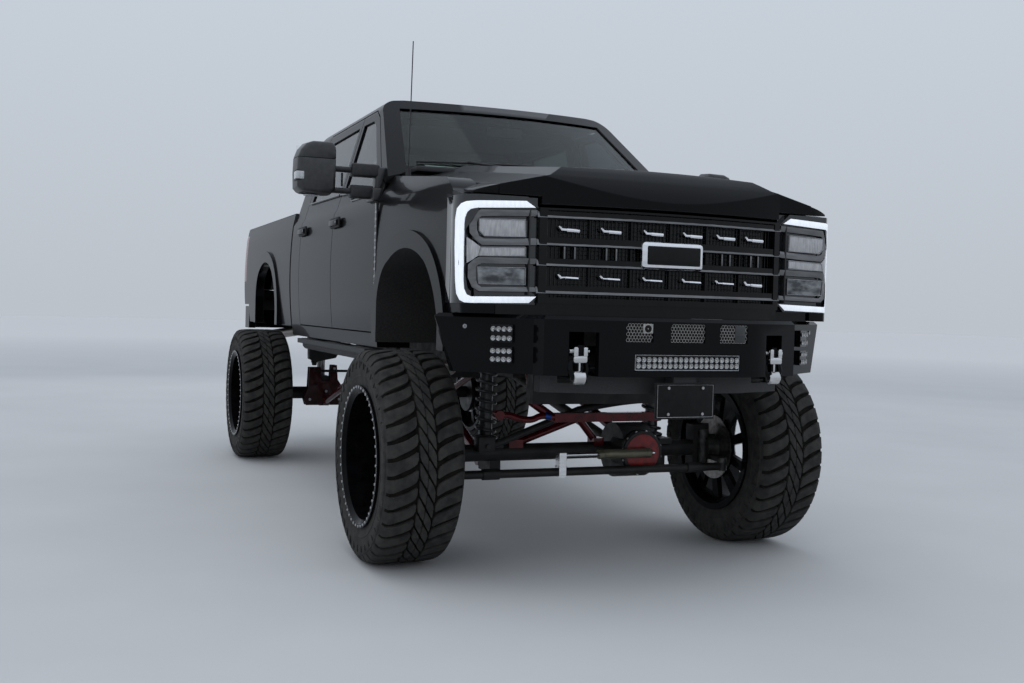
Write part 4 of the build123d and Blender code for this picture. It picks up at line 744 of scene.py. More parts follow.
# Lugs of one pitch: depth, then stations of y, radius, from and to round the tread
LUGS = [
    # Shoulder lug, from its inner tip out and round the shoulder
    (LUG_DEPTH, [(-0.048, 0.5402, -0.04, -0.01), (-0.056, 0.5402, -0.042, 0.012),
                 (-0.07, 0.5402, -0.033, 0.023), (-0.09, 0.5398, -0.021, 0.0345),
                 (-0.115, 0.5388, -0.011, 0.045), (-0.14, 0.537, -0.003, 0.056),
                 (-0.162, 0.533, 0.003, 0.066), (-0.178, 0.5245, 0.005, 0.07),
                 (-0.189, 0.509, 0.006, 0.0715), (-0.1945, 0.492, 0.006, 0.072)]),
    # Middle block, a steep strip from the shoulder lugs to the middle line
    (LUG_DEPTH, [(-0.04, 0.5402, -0.076, -0.022), (-0.032, 0.5402, -0.068, 0.002),
                 (-0.018, 0.5403, -0.043, 0.025), (-0.006, 0.5403, -0.022, 0.043),
                 (-0.0015, 0.5403, -0.012, 0.043)]),
    # Two bars on the sidewall
    (BAR_DEPTH, [(-0.1995, 0.484, 0.006, 0.042), (-0.202, 0.47, 0.006, 0.042),
                 (-0.201, 0.446, 0.012, 0.036)]),
    (BAR_DEPTH, [(-0.1985, 0.481, 0.052, 0.069), (-0.1998, 0.472, 0.052, 0.069),
                 (-0.199, 0.466, 0.054, 0.067)]),
]
rubber = finish("tyre_rubber", (0.017, 0.0165, 0.016), (0.036, 0.034, 0.031), 0.05, 0.85, shine=0.3)
bump(rubber, 0.002, 0.0004)
# Groove rubber: painted shade, much darker than the lugs' rubber, with a faint brown tint of earth.
groove_rubber_painted_shade = finish("groove_rubber_painted_shade", (0.005, 0.0048, 0.0045), (0.014, 0.012, 0.01), 0.04, 0.95, shine=0.1)
bump(groove_rubber_painted_shade, 0.003, 0.0006)


def add_grid(columns, rows):
    """A flat grid, and its corners in order: row after row, and across each row."""
    bpy.ops.mesh.primitive_grid_add(x_subdivisions=columns, y_subdivisions=rows)
    piece = bpy.context.object
    return piece, sorted(piece.data.vertices, key=lambda v: (round(v.co.y, 4), v.co.x))


def thicken(piece, depth, even=False):
    """Gives a sheet a wall behind its face."""
    wall = piece.modifiers.new("depth", "SOLIDIFY")
    wall.thickness = depth
    wall.offset = -1
    wall.use_even_offset = even
    apply_all(piece)


def add_lug(depth, stations):
    """One lug: a ribbon over its stations, thickened inwards, with rolled edges."""
    lug, corners = add_grid(1, len(stations) - 1)
    for row, (y, radius, low, high) in enumerate(stations):
        for vertex, length in ((corners[2 * row], low), (corners[2 * row + 1], high)):
            angle = length / TREAD_R
            vertex.co = (radius * sin(angle), y, radius * cos(angle))
    face_out(lug)
    if sum(f.normal.dot(f.center) for f in lug.data.polygons) < 0:
        lug.data.flip_normals()
    thicken(lug, depth)
    return soften(lug, 0.0012, 1, 50)


pitch_lugs = joined([add_lug(*lug) for lug in LUGS])
half_pitch = Matrix.Rotation(pi / PITCHES, 4, "Y") @ Matrix.Rotation(pi, 4, "Z")
pitch_lugs = joined([pitch_lugs, copied(pitch_lugs, half_pitch)])
tread = repeated(pitch_lugs, [Matrix.Rotation(tau * i / PITCHES, 4, "Y") for i in range(PITCHES)])
tread.data.materials.append(rubber)
casing = add_turned(CASING_SIDE + [(-y, r) for y, r in reversed(CASING_SIDE)], "Y", 120)
casing.data.materials.append(rubber)
casing.data.materials.append(groove_rubber_painted_shade)
# Casing faces past the groove radius, down between the lugs, take the painted shade.
finish_where(casing, 1, lambda middle, normal: (middle.x ** 2 + middle.z ** 2) ** 0.5 > GROOVE_R)
tyre = joined([casing, tread])

# Corners: name, middle of the wheel, turn that faces it outwards
CORNERS = [
    ("front_left", (FRONT_AXLE, 1.04, HUB_HEIGHT), 0),
    ("front_right", (FRONT_AXLE, -1.04, HUB_HEIGHT), pi),
    ("rear_left", (REAR_AXLE, 1.055, HUB_HEIGHT), 0),
    ("rear_right", (REAR_AXLE, -1.055, HUB_HEIGHT), pi),
]
for corner, middle, turn in CORNERS:
    reshelled("wheel_" + corner, 0.003, wheel_black)
    place = Matrix.Translation(middle) @ Matrix.Rotation(turn, 4, "Z")
    settle("details_" + corner, copied(hub_details, place), body="wheel_" + corner)
    wheel_tyre = settle("tyre_finished_" + corner, copied(tyre, place), body="wheel_" + corner)
    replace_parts(wheel_tyre, "tyre_" + corner)
bpy.data.objects.remove(hub_details)
bpy.data.objects.remove(tyre)


# Body: pressed panels with rolled edges, in black paint under a deep clear coat.
# Fine metal flake and a faint orange peel show only close to.
CABIN_MIDDLE = at(-1.85, 0, 1.9)
ARCH_HEIGHT = 0.95
ARCH_INNER = 0.975
ARCH_TOP = 1.75
paint = finish("gloss_black_paint", (0.0014, 0.0014, 0.0018), (0.0032, 0.0032, 0.004), 0.0012, 0.3, coat=0.32,
               shine=0.03, kind="cells", low=0.2, high=0.9)
bump(paint, 0.006, 0.00002)
dust(paint, 1.25, 0.02)
cabin_lining = finish("cabin_lining", (0.024, 0.023, 0.023), (0.042, 0.04, 0.039), 0.004, 0.85)
bump(cabin_lining, 0.0025, 0.0006)
arch_lining = finish("arch_lining", (0.008, 0.008, 0.008), (0.02, 0.019, 0.018), 0.01, 0.9)
bump(arch_lining, 0.004, 0.0012, kind="cells")
dust(arch_lining, 2.0, 0.1)


def faces_inwards(middle_of_room, least=0.3):
    """A test for the faces that look towards the middle of a room."""
    return lambda middle, normal: (middle_of_room - middle).normalized().dot(normal) > least


def in_arch(middle, normal):
    """A test for the faces of a front arch that look at the wheel."""
    axle_line = Vector((FRONT_AXLE, middle.y, ARCH_HEIGHT))
    outward = (middle - axle_line).normalized()
    return abs(middle.y) < ARCH_INNER and middle.z < ARCH_TOP and outward.dot(normal) < -0.3


cab = reshelled("cab_shell", 0.004, paint, cabin_lining)
finish_where(cab, 1, faces_inwards(CABIN_MIDDLE))
for side_name in ("left", "right"):
    for which, x in (("front_door_", -1.18), ("rear_door_", -2.2)):
        door = reshelled(which + side_name, 0.003, paint, cabin_lining)
        finish_where(door, 1, faces_inwards(at(x, 0, 1.8), 0.5))

fenders = reshelled("front_fenders", 0.004, paint, arch_lining)
finish_where(fenders, 1, in_arch)
hood = reshelled("hood", 0.014, paint, arch_lining, angle=12, segments=3)
finish_where(hood, 1, lambda middle, normal: normal.z < -0.5)

# Hood wings: the pressed front corners of the hood, folded over the lamps and painted with it.
# A narrow shut line runs between them and the wing panels below.
# Ahead, left of the outer edge, height of the hood beside it, height of the panel below
WING_STATIONS = [
    (0.596, 0.858, 1.887, 1.876), (0.622, 0.9, 1.884, 1.859), (0.656, 0.94, 1.88, 1.842), (0.7, 0.96, 1.875, 1.832),
    (0.765, 0.964, 1.8675, 1.819), (0.842, 0.956, 1.859, 1.8125),
]
WING_INNER = 0.815
WING_FALL = 0.24
WING_COLUMNS = 6
WING_PROUD = 0.0035
WING_DROP = 0.006
# The front edge falls back from here outwards
WING_BEND = 0.845
WING_SWEEP = 2.2
wing, corners = add_grid(WING_COLUMNS, len(WING_STATIONS) - 1)
for i, vertex in enumerate(corners):
    ahead, outer, hood_height, low = WING_STATIONS[i // (WING_COLUMNS + 1)]
    across = (i % (WING_COLUMNS + 1)) / WING_COLUMNS
    left = WING_INNER + (outer - WING_INNER) * across
    height = hood_height + WING_PROUD - WING_FALL * (left - WING_INNER) - WING_DROP * across ** 4
    if ahead > 0.8 and left > WING_BEND:
        ahead -= WING_SWEEP * (left - WING_BEND) ** 2
    vertex.co = at(ahead, left, height)
open_mesh(wing)
bpy.ops.mesh.extrude_region_move(TRANSFORM_OT_translate={"value": (0, 0, -0.01)})
close_mesh()
for vertex in wing.data.vertices:
    if vertex.select:
        ahead = vertex.co.x - FRONT_AXLE
        for (x1, _, _, low1), (x2, _, _, low2) in zip(WING_STATIONS, WING_STATIONS[1:]):
            if x1 - 0.001 <= ahead <= x2 + 0.001:
                vertex.co.z = low1 + (low2 - low1) * (ahead - x1) / (x2 - x1)
face_out(wing)
settle("hood_wings", both_sides(soften(wing, 0.004, 3, 40)), paint, body="hood")

# Bed and tailgate: double-walled pressed steel, painted outside and sprayed with a rough liner inside.
# The tailgate hangs between the bed's rear posts on two pins.
BED_INNER = 0.846
BED_FLOOR = 1.455
BED_TOP = 1.985
REAR_ARCH_INNER = 0.962
bed_liner = finish("sprayed_bed_liner", (0.01, 0.01, 0.01), (0.024, 0.024, 0.024), 0.004, 0.75, kind="cells")
bump(bed_liner, 0.0035, 0.0014, kind="cells")
bed = reshelled("bed_box", 0.004, paint, bed_liner, arch_lining)
finish_where(bed, 1, lambda middle, normal: abs(middle.y) < BED_INNER and BED_FLOOR < middle.z < BED_TOP)
finish_where(bed, 2, lambda middle, normal: abs(middle.y) < REAR_ARCH_INNER and middle.z < BED_FLOOR - 0.005)
gate = reshelled("tailgate", 0.005, paint, bed_liner)
finish_where(gate, 1, lambda middle, normal: normal.x > 0.7)


# Glass: curved panes, light green in the wind screen and smoked at the sides and rear.
# Each pane is the node's own shape, so only its material is given here.
screen_glass = finish("wind_screen_glass", (0.32, 0.39, 0.37), (0.37, 0.44, 0.42), 0.6, 0.0)
side_glass = finish("smoked_glass", (0.04, 0.046, 0.049), (0.06, 0.068, 0.072), 0.5, 0.0)
for glass, bending in ((screen_glass, 1.2), (side_glass, 1.36)):
    shader = glass.node_tree.nodes["Principled BSDF"]
    shader.inputs["Transmission Weight"].default_value = 1.0
    shader.inputs["IOR"].default_value = bending
panes = [which + "_door_glass_" + side_name for which in ("front", "rear") for side_name in ("left", "right")]
for node, glass in [("cab_glass", screen_glass)] + [(pane, side_glass) for pane in panes]:
    mesh = frame["nodes"][node].data
    mesh.materials.clear()
    mesh.materials.append(glass)


# Outside trim: grained black mirrors and antenna foot, wipers and a slatted cowl,
# pull handles on the doors, black window strips and a slim vent strip behind each front wheel.
# Mirror head seen from ahead: left, height
HEAD_OUTLINE = [
    (1.207, 2.17), (1.207, 2.05), (1.209, 1.94), (1.222, 1.918), (1.31, 1.912), (1.415, 1.919), (1.437, 1.945),
    (1.4395, 2.03), (1.4365, 2.115), (1.418, 2.165), (1.385, 2.203), (1.345, 2.219), (1.232, 2.221), (1.212, 2.208),
]
HEAD_FRONT = -0.697
HEAD_BACK = -0.833
HEAD_SEAM = 2.116
SEAM_HALF = 0.0015
# Wind screen: how far ahead and how high its foot is, half its width, how far its sides lie back, its rake
SCREEN_FOOT = -0.56
SCREEN_LOW = 2.1
SCREEN_HALF = 0.87
SCREEN_BOW = 0.155
SCREEN_RAKE = 640 / 460
# Doors: name, middle of the handle, line of the window strip
DOORS = [
    ("front_door_", -1.595, [(-0.885, 0.958, 1.952), (-1.36, 0.96, 1.952), (-1.43, 0.952, 2.008),
                             (-1.69, 0.9475, 2.02)]),
    ("rear_door_", -2.6, [(-1.735, 0.945, 2.022), (-2.655, 0.942, 2.034)]),
]
trim_black = finish("grained_trim", (0.009, 0.009, 0.01), (0.017, 0.017, 0.018), 0.02, 0.5)
bump(trim_black, 0.0012, 0.0003)
gloss_plastic = finish("piano_black", (0.0014, 0.0014, 0.0017), (0.003, 0.003, 0.0034), 0.05, 0.12, coat=0.45,
                       shine=0.1)
seal_rubber = finish("seal_rubber", (0.007, 0.007, 0.007), (0.014, 0.014, 0.014), 0.01, 0.7)
satin_chrome = finish("satin_dark_chrome", (0.24, 0.24, 0.25), (0.34, 0.34, 0.35), 0.02, 0.22, metal=1.0)
mirror_silver = finish("mirror_silver", (0.78, 0.78, 0.78), (0.82, 0.82, 0.82), 0.1, 0.02, metal=1.0)
clear_lens = finish("clear_lens", (0.34, 0.36, 0.38), (0.5, 0.52, 0.54), 0.006, 0.08, coat=1.0, stretch=(1, 1, 20))
bump(clear_lens, 0.004, 0.0006, stretch=(1, 1, 20))
reshelled("antenna", 0, trim_black)
mirror_black = finish("satin_mirror_shell", (0.015, 0.015, 0.016), (0.026, 0.026, 0.027), 0.03, 0.34, shine=0.6)
bump(mirror_black, 0.0012, 0.00012)


def cut_at(piece, height, keep_above):
    """Cuts a closed piece level at a height, keeps one part and closes the cut."""
    open_mesh(piece)
    bpy.ops.mesh.bisect(plane_co=(0, 0, height), plane_no=(0, 0, 1), use_fill=True, clear_inner=keep_above,
                        clear_outer=not keep_above)
    close_mesh()
    return soften(piece, 0.0015, 2, 60)


head = plate(HEAD_OUTLINE, HEAD_FRONT, HEAD_BACK, 0.03, 0.93)
cap = copied(head, Matrix.Identity(4))
left_mirror = joined_in_finishes([
    (cut_at(head, HEAD_SEAM - SEAM_HALF, False), 0),
    (cut_at(cap, HEAD_SEAM + SEAM_HALF, True), 0),
    (add_block((-0.82, 1.23, 2.09), (-0.71, 1.42, 2.14), 0.004), 1),
    (add_rod(at(-0.772, 0.965, 2.071), at(-0.772, 1.222, 2.071), 0.017, 20), 1),
    (add_rod(at(-0.762, 0.965, 1.949), at(-0.762, 1.222, 1.949), 0.017, 20), 1),
    (add_block((-0.81, 0.95, 2.036), (-0.742, 1.116, 2.11), 0.012, 3), 1),
    (add_block((-0.802, 0.985, 1.912), (-0.738, 1.122, 1.986), 0.012, 3), 1),
    (add_block((-0.822, 0.9045, 1.952), (-0.742, 0.975, 2.098), 0.014, 3), 0),
    (add_block((-0.848, 0.9045, 1.897), (-0.702, 1.003, 1.972), 0.01, 3), 0),
    (add_rod(at(-0.77, 1.165, 1.975), at(-0.77, 1.165, 2.05), 0.006, 10), 1),
    (add_block((-0.8385, 1.226, 2.02), (-0.8325, 1.414, 2.196), 0.0025), 2),
    (add_block((-0.8385, 1.226, 1.93), (-0.8325, 1.414, 2.008), 0.0025), 2),
    (add_block((-0.76, 1.395, 1.993), (-0.6945, 1.4405, 2.037), 0.005, 3), 3),
    (add_block((-0.764, 1.387, 1.985), (-0.6975, 1.4395, 2.045), 0.005, 3), 1),
    (add_block((-0.79, 1.3, 1.9085), (-0.74, 1.38, 1.9145), 0.002), 3),
], mirror_black, trim_black, mirror_silver, clear_lens)
for piece, side_name in ((left_mirror, "left"), (copied(left_mirror, ACROSS), "right")):
    settle("mirror_" + side_name + "_finished", piece, body="front_door_" + side_name)
    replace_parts(piece, "mirror_" + side_name)

for side_name, s in (("left", 1), ("right", -1)):
    for which, x, line in DOORS:
        door = which + side_name
        low, high = sorted((s * 0.996, s * 1.012))
        cup = add_block((x - 0.115, low, 1.795), (x + 0.115, high - 0.004 * (s > 0), 1.862), 0.006)
        settle("handle_cup_" + door, cup, seal_rubber, body=door)
        low, high = sorted((s * 1.006, s * 1.024))
        grip = add_block((x - 0.105, low, 1.808), (x + 0.105, high, 1.846), 0.007, 3)
        settle("handle_grip_" + door, grip, paint, body=door)
        lock = add_rod(at(x + 0.085, s * 1.02, 1.828), at(x + 0.085, s * 1.0255, 1.828), 0.008, 16)
        settle("handle_lock_" + door, lock, satin_chrome, body=door)
for side_name, turn in (("left", Matrix.Identity(4)), ("right", ACROSS)):
    for which, x, line in DOORS:
        strip = add_tube([at(*p) for p in line], 0.005, 2, False)
        settle("belt_strip_" + which + side_name, repeated(strip, [turn]), gloss_plastic, body=which + side_name)

vent = add_block((-0.638, 0.992, 1.34), (-0.6, 1.0045, 1.88), 0.004)
slots = [add_block((-0.634, 1.002, z), (-0.604, 1.0065, z + 0.015), 0.002)
         for z in [1.38 + i * 0.04 for i in range(12)]]
settle("fender_vent_strips", both_sides(vent), gloss_plastic)
settle("fender_vent_fins", both_sides(slots), satin_chrome)

cowl = [add_block((-0.64, -0.8, 2.062), (-0.522, 0.8, 2.092), 0.006)]
cowl += [add_block((x, -0.76, 2.09), (x + 0.008, 0.76, 2.097), 0.001) for x in [-0.625 + i * 0.018 for i in range(5)]]
settle("cowl_panel", cowl, trim_black)


def screen_point(left, height, off=0.0):
    """A point on the wind screen, off by so much ahead of it."""
    bow = SCREEN_BOW * (left / SCREEN_HALF) ** 2
    return at(SCREEN_FOOT - bow - (height - SCREEN_LOW) * SCREEN_RAKE + off, left, height)


wipers = []
for pivot, tip_y in ((0.52, -0.1), (-0.16, -0.74)):
    reach = pivot + 0.1 - tip_y
    blade = [screen_point(tip_y + reach * t, 2.142 + 0.012 * t, 0.004) for t in (0, 0.25, 0.5, 0.75, 1)]
    wipers.append(add_tube(blade, 0.0065, 2))
    arm = [(pivot + 0.04, 2.095, 0.03), (pivot, 2.125, 0.022), ((pivot + tip_y) / 2, 2.152, 0.014)]
    wipers.append(add_tube([screen_point(*p) for p in arm], 0.008, 2))
settle("wipers", wipers, trim_black)

step_black = finish("textured_coat", (0.01, 0.01, 0.011), (0.024, 0.024, 0.025), 0.003, 0.6, kind="cells")
bump(step_black, 0.0022, 0.0008, kind="cells")
reshelled("running_boards", 0.004, step_black)
grips = [add_block((x - 0.19, y, 1.0515), (x + 0.19, y + 0.008, 1.0555), 0.0012)
         for x in (-0.95, -1.7, -2.45) for y in [0.905 + i * 0.018 for i in range(5)]]
settle("step_grips", both_sides(grips), seal_rubber)


# Cabin: a moulded dashboard with a soft top pad, gauge hood and screen, behind a leather-rimmed wheel.
# The seats are foam under black leather, with sewn channels.
FRONT_SEAT_Y = 0.42
reshelled("dashboard", 0.01, cabin_lining, angle=25)
screen_dark = finish("instrument_glass", (0.004, 0.005, 0.007), (0.01, 0.011, 0.014), 0.05, 0.08, coat=1.0)
tablet = add_block((-0.975, -0.17, 1.845), (-0.955, 0.17, 2.02), 0.006)
gauges = add_block((-0.995, 0.25, 1.955), (-0.955, 0.55, 2.035), 0.01)
settle("dash_screens", [tablet, gauges], screen_dark)
mirror_body = add_block((-1.235, -0.115, 2.395), (-1.195, 0.115, 2.462), 0.012, 3)
mirror_foot = add_rod(at(-1.198, 0, 2.44), at(-1.155, 0, 2.495), 0.01, 12)
settle("inside_mirror", [mirror_body, mirror_foot], trim_black)
settle("inside_mirror_glass", add_block((-1.238, -0.105, 2.402), (-1.2345, 0.105, 2.455), 0.001), mirror_silver)

leather = finish("seat_leather", (0.014, 0.013, 0.013), (0.03, 0.028, 0.027), 0.02, 0.5)
bump(leather, 0.003, 0.0005, kind="cells")
bump(leather, 0.04, 0.002)


def add_cushion(low, high, crown, channels):
    """A padded block: many small faces, crowned in the middle, drawn in at its edges and channels."""
    low, high = Vector(low), Vector(high)
    bpy.ops.mesh.primitive_cube_add(size=1)
    piece = bpy.context.object
    open_mesh(piece)
    bpy.ops.mesh.subdivide(number_cuts=15)
    close_mesh()
    for vertex in piece.data.vertices:
        share = vertex.co * 2
        x2, y2, z2 = (c ** 2 for c in share)
        swell = (1 - x2 ** 2) * (1 - y2 ** 2) * (1 - z2 ** 2)
        round_off = 1 - 0.055 * (x2 * y2 + y2 * z2 + x2 * z2)
        pinch = abs(sin(pi * (share.y + 1) / 2 * channels)) ** 0.35 if channels else 1
        vertex.co = [a + (b - a) * (c * round_off + 1) / 2 for a, b, c in zip(low, high, share)]
        outward = Vector(c ** 3 for c in share)
        if outward.length > 0:
            vertex.co += outward.normalized() * (crown * (swell + 0.25) * pinch - crown * 0.9)
    bpy.ops.object.shade_smooth()
    return piece


def add_pads(name, cushion, back, lean, back_place, heads):
    """A seat's pads: the cushion, the back leaned over and set on its place, and the head rests."""
    back.data.transform(Matrix.Rotation(radians(lean), 4, "Y"))
    back.data.transform(Matrix.Translation(back_place))
    pads = settle(name, joined([cushion, back] + heads), leather)


for name, y in (("front_seat_pads_right", -FRONT_SEAT_Y), ("front_seat_pads_left", FRONT_SEAT_Y)):
    add_pads(name, add_cushion(at(-1.86, y - 0.255, 1.475), at(-1.305, y + 0.255, 1.605), 0.014, 4),
             add_cushion((-0.055, y - 0.25, 0.0), (0.055, y + 0.25, 0.585), 0.014, 4), -11.5, at(-1.785, 0, 1.605),
             [add_cushion(at(-1.998, y - 0.125, 2.205), at(-1.895, y + 0.125, 2.355), 0.012, 0)])
add_pads("rear_bench_pads", add_cushion(at(-2.845, -0.755, 1.455), at(-2.335, 0.755, 1.575), 0.014, 9),
         add_cushion((-0.05, -0.755, 0.0), (0.05, 0.755, 0.575), 0.014, 9), -9, at(-2.795, 0, 1.572),
         [add_cushion(at(-2.958, y - 0.12, 2.145), at(-2.872, y + 0.12, 2.285), 0.012, 0) for y in (-0.44, 0.44)])
bases = [add_block((-2.86, -0.7, 1.281), (-2.38, 0.7, 1.454), 0.02, 3)]
for y in (-FRONT_SEAT_Y, FRONT_SEAT_Y):
    bases.append(add_block((-1.88, y - 0.23, 1.281), (-1.33, y + 0.23, 1.474), 0.02, 3))
    bases.append(add_block((-1.95, y - 0.055, 2.15), (-1.93, y + 0.055, 2.22), 0.006))
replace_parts(settle("seat_frames", bases, trim_black), "seats")


# Head lamps: a white C of light round a black housing, with three lamp blocks behind clear covers.
# The middle block widens outwards to meet the C.
# Ribbons over the nose: left and height on one edge, left and height on the other
WHITE_C = [
    (0.7153, 1.787, 0.6705, 1.759), (0.82, 1.7825, 0.82, 1.751), (0.938, 1.777, 0.93, 1.745),
    (0.962, 1.7757, 0.952, 1.743), (0.9825, 1.7736, 0.968, 1.7388), (0.9969, 1.7657, 0.9788, 1.7252),
    (1.0067, 1.7442, 0.9859, 1.701), (1.0092, 1.6954, 0.9877, 1.6765), (1.009, 1.5714, 0.988, 1.5703),
    (1.0068, 1.4223, 0.986, 1.4223), (1.0038, 1.3645, 0.983, 1.3855), (0.9955, 1.3358, 0.974, 1.361),
    (0.9816, 1.3255, 0.96, 1.353), (0.962, 1.3243, 0.95, 1.3525), (0.942, 1.3243, 0.936, 1.353),
    (0.93, 1.325, 0.925, 1.3535), (0.82, 1.327, 0.82, 1.356), (0.6936, 1.3301, 0.658, 1.36),
]
UPPER_BRACKET = [
    (0.66, 1.749, 0.66, 1.72), (0.8, 1.744, 0.8, 1.715), (0.927, 1.739, 0.922, 1.708), (0.963, 1.724, 0.941, 1.692),
    (0.974, 1.695, 0.945, 1.678), (0.971, 1.634, 0.944, 1.648), (0.949, 1.603, 0.93, 1.622),
    (0.92, 1.581, 0.909, 1.612), (0.8, 1.584, 0.8, 1.616), (0.66, 1.591, 0.66, 1.624),
]
LOWER_BRACKET = [
    (0.66, 1.532, 0.66, 1.504), (0.8, 1.53, 0.8, 1.501), (0.93, 1.529, 0.916, 1.499), (0.95, 1.52, 0.938, 1.489),
    (0.974, 1.494, 0.944, 1.476), (0.974, 1.437, 0.944, 1.425), (0.958, 1.394, 0.93, 1.406),
    (0.928, 1.376, 0.915, 1.397), (0.8, 1.378, 0.8, 1.402), (0.66, 1.381, 0.66, 1.404),
]
MIDDLE_LENS = [
    (0.714, 1.577, 0.714, 1.541), (0.922, 1.5715, 0.937, 1.5326), (0.96, 1.599, 0.96, 1.514),
    (0.981, 1.616, 0.979, 1.5),
]
UPPER_LENS = [(0.715, 1.705, 0.712, 1.625), (0.908, 1.699, 0.908, 1.621), (0.934, 1.698, 0.934, 1.643)]
LOWER_LENS = [(0.712, 1.488, 0.71, 1.41), (0.938, 1.484, 0.93, 1.409)]
# Closed outlines of the bright rims: left, height
LENS_RIMS = [
    [(0.717, 1.703), (0.934, 1.697), (0.933, 1.644), (0.908, 1.622), (0.714, 1.626)],
    [(0.712, 1.487), (0.938, 1.483), (0.93, 1.41), (0.711, 1.411)],
    [(0.714, 1.579), (0.924, 1.571), (0.934, 1.534), (0.715, 1.538)],
]
NOSE_TIP = 0.935
NOSE_BOW = 0.075
NOSE_HALF = 0.65
# The corner's curve in plan: left, ahead
CORNER = [
    (0.935, 0.843), (0.94, 0.842), (0.9635, 0.825), (0.971, 0.817), (0.979, 0.806), (0.987, 0.7965), (0.995, 0.782),
    (1.001, 0.7695), (1.007, 0.75), (1.011, 0.729),
]


def nose_x(left, inset=0.0):
    """How far ahead of the front axle the nose's curve lies, this far left of the middle."""
    reach = abs(left)
    if reach < NOSE_HALF:
        radius = (NOSE_HALF ** 2 + NOSE_BOW ** 2) / (2 * NOSE_BOW)
        return NOSE_TIP - radius + (radius ** 2 - left ** 2) ** 0.5 - inset
    run = [(NOSE_HALF, NOSE_TIP - NOSE_BOW)] + CORNER
    for (y1, x1), (y2, x2) in zip(run, run[1:]):
        if reach <= y2 or y2 == CORNER[-1][0]:
            return x1 + (reach - y1) / (y2 - y1) * (x2 - x1) - inset


def on_nose(left, height, out):
    """A place on the nose or its corner, out by so much."""
    step = 0.003
    slope = (nose_x(abs(left) - step) - nose_x(abs(left) + step)) / (2 * step)
    outward = Vector((1, slope, 0)).normalized()
    if left < 0:
        outward.y = -outward.y
    return at(nose_x(left), left, height) + outward * out


def nose_ribbon(rows, out, depth, edge, tilt=0.0):
    """A ribbon that follows the nose between two edges, with a wall behind it and rolled edges."""
    ribbon, corners = add_grid(1, len(rows) - 1)
    for row, (y1, z1, y2, z2) in enumerate(rows):
        corners[2 * row].co = on_nose(y1, z1, out)
        corners[2 * row + 1].co = on_nose(y2, z2, out + tilt)
    ribbon.data.update()
    if sum(f.normal.x for f in ribbon.data.polygons) < 0:
        ribbon.data.flip_normals()
    thicken(ribbon, depth, even=True)
    return soften(ribbon, edge, 2, 40)


light_white = finish("light_guide", (0.72, 0.75, 0.8), (0.86, 0.88, 0.92), 0.01, 0.25, coat=0.6, stretch=(1, 1, 4))
glow = light_white.node_tree.nodes["Principled BSDF"].inputs
glow["Emission Color"].default_value = (0.85, 0.92, 1.0, 1)
glow["Emission Strength"].default_value = 0.38
lens_black = finish("lamp_cover_glass", (0.004, 0.005, 0.006), (0.01, 0.011, 0.013), 0.03, 0.05, coat=1.0)
bracket_grey = finish("satin_grey_bracket", (0.145, 0.145, 0.147), (0.2, 0.2, 0.202), 0.02, 0.28, metal=1.0,
                      stretch=(1, 6, 1))
bump(bracket_grey, 0.0015, 0.00006)
pale_lens = finish("ribbed_lens", (0.28, 0.28, 0.29), (0.42, 0.42, 0.43), 0.009, 0.16, coat=1.0, stretch=(1, 1, 5))
bump(pale_lens, 0.0035, 0.0006, stretch=(1, 1, 30))
projector_glass = finish("projector_glass", (0.05, 0.055, 0.06), (0.26, 0.27, 0.28), 0.03, 0.06, metal=0.9,
                         coat=1.0, stretch=(1, 2, 1))
reshelled("headlamps", 0.006, lens_black)
DIVIDER_X = nose_x(0.694)
for name, piece, material in (
    ("white_c", nose_ribbon(WHITE_C, 0.003, 0.006, 0.0018), light_white),
    ("upper_bracket", nose_ribbon(UPPER_BRACKET, -0.002, 0.012, 0.003, -0.006), bracket_grey),
    ("lower_bracket", nose_ribbon(LOWER_BRACKET, -0.002, 0.012, 0.003, -0.006), bracket_grey),
    ("middle_lens", nose_ribbon(MIDDLE_LENS, -0.004, 0.01, 0.002), pale_lens),
    ("upper_lens", nose_ribbon(UPPER_LENS, -0.005, 0.01, 0.002), pale_lens),
    ("lower_lens", nose_ribbon(LOWER_LENS, -0.005, 0.01, 0.002), projector_glass),
    ("lens_rims", [add_tube([on_nose(y, z, -0.004) for y, z in rim + rim[:1]], 0.0022, 1, False)
                   for rim in LENS_RIMS], satin_chrome),
    ("divider", add_block((DIVIDER_X - 0.03, 0.69, 1.366), (DIVIDER_X - 0.002, 0.698, 1.748), 0.002), trim_black),
):
    settle("head_lamp_" + name, both_sides(piece), material)


# Grille: gloss black bars with short bright accents over a fine dark mesh.
# A plain plate with a bright rim sits in the middle.
ACCENT_SPOTS = [-0.51, -0.312, -0.098, 0.113, 0.306, 0.486]
ACCENT_ROWS = [1.67, 1.452]
# Bars: height of the lower and the upper edge of the bright front
BAR_FRONTS = [(1.376, 1.406), (1.501, 1.529), (1.594, 1.621), (1.718, 1.746)]
BAR_STATIONS = [-0.66, -0.55, -0.44, -0.33, -0.22, -0.11, 0.0, 0.11, 0.22, 0.33, 0.44, 0.55, 0.66]
MESH_HALF = 0.6
MESH_COLUMNS = 64
MESH_ROWS = 22
MESH_LOW = 1.345
MESH_STEP = 0.0192

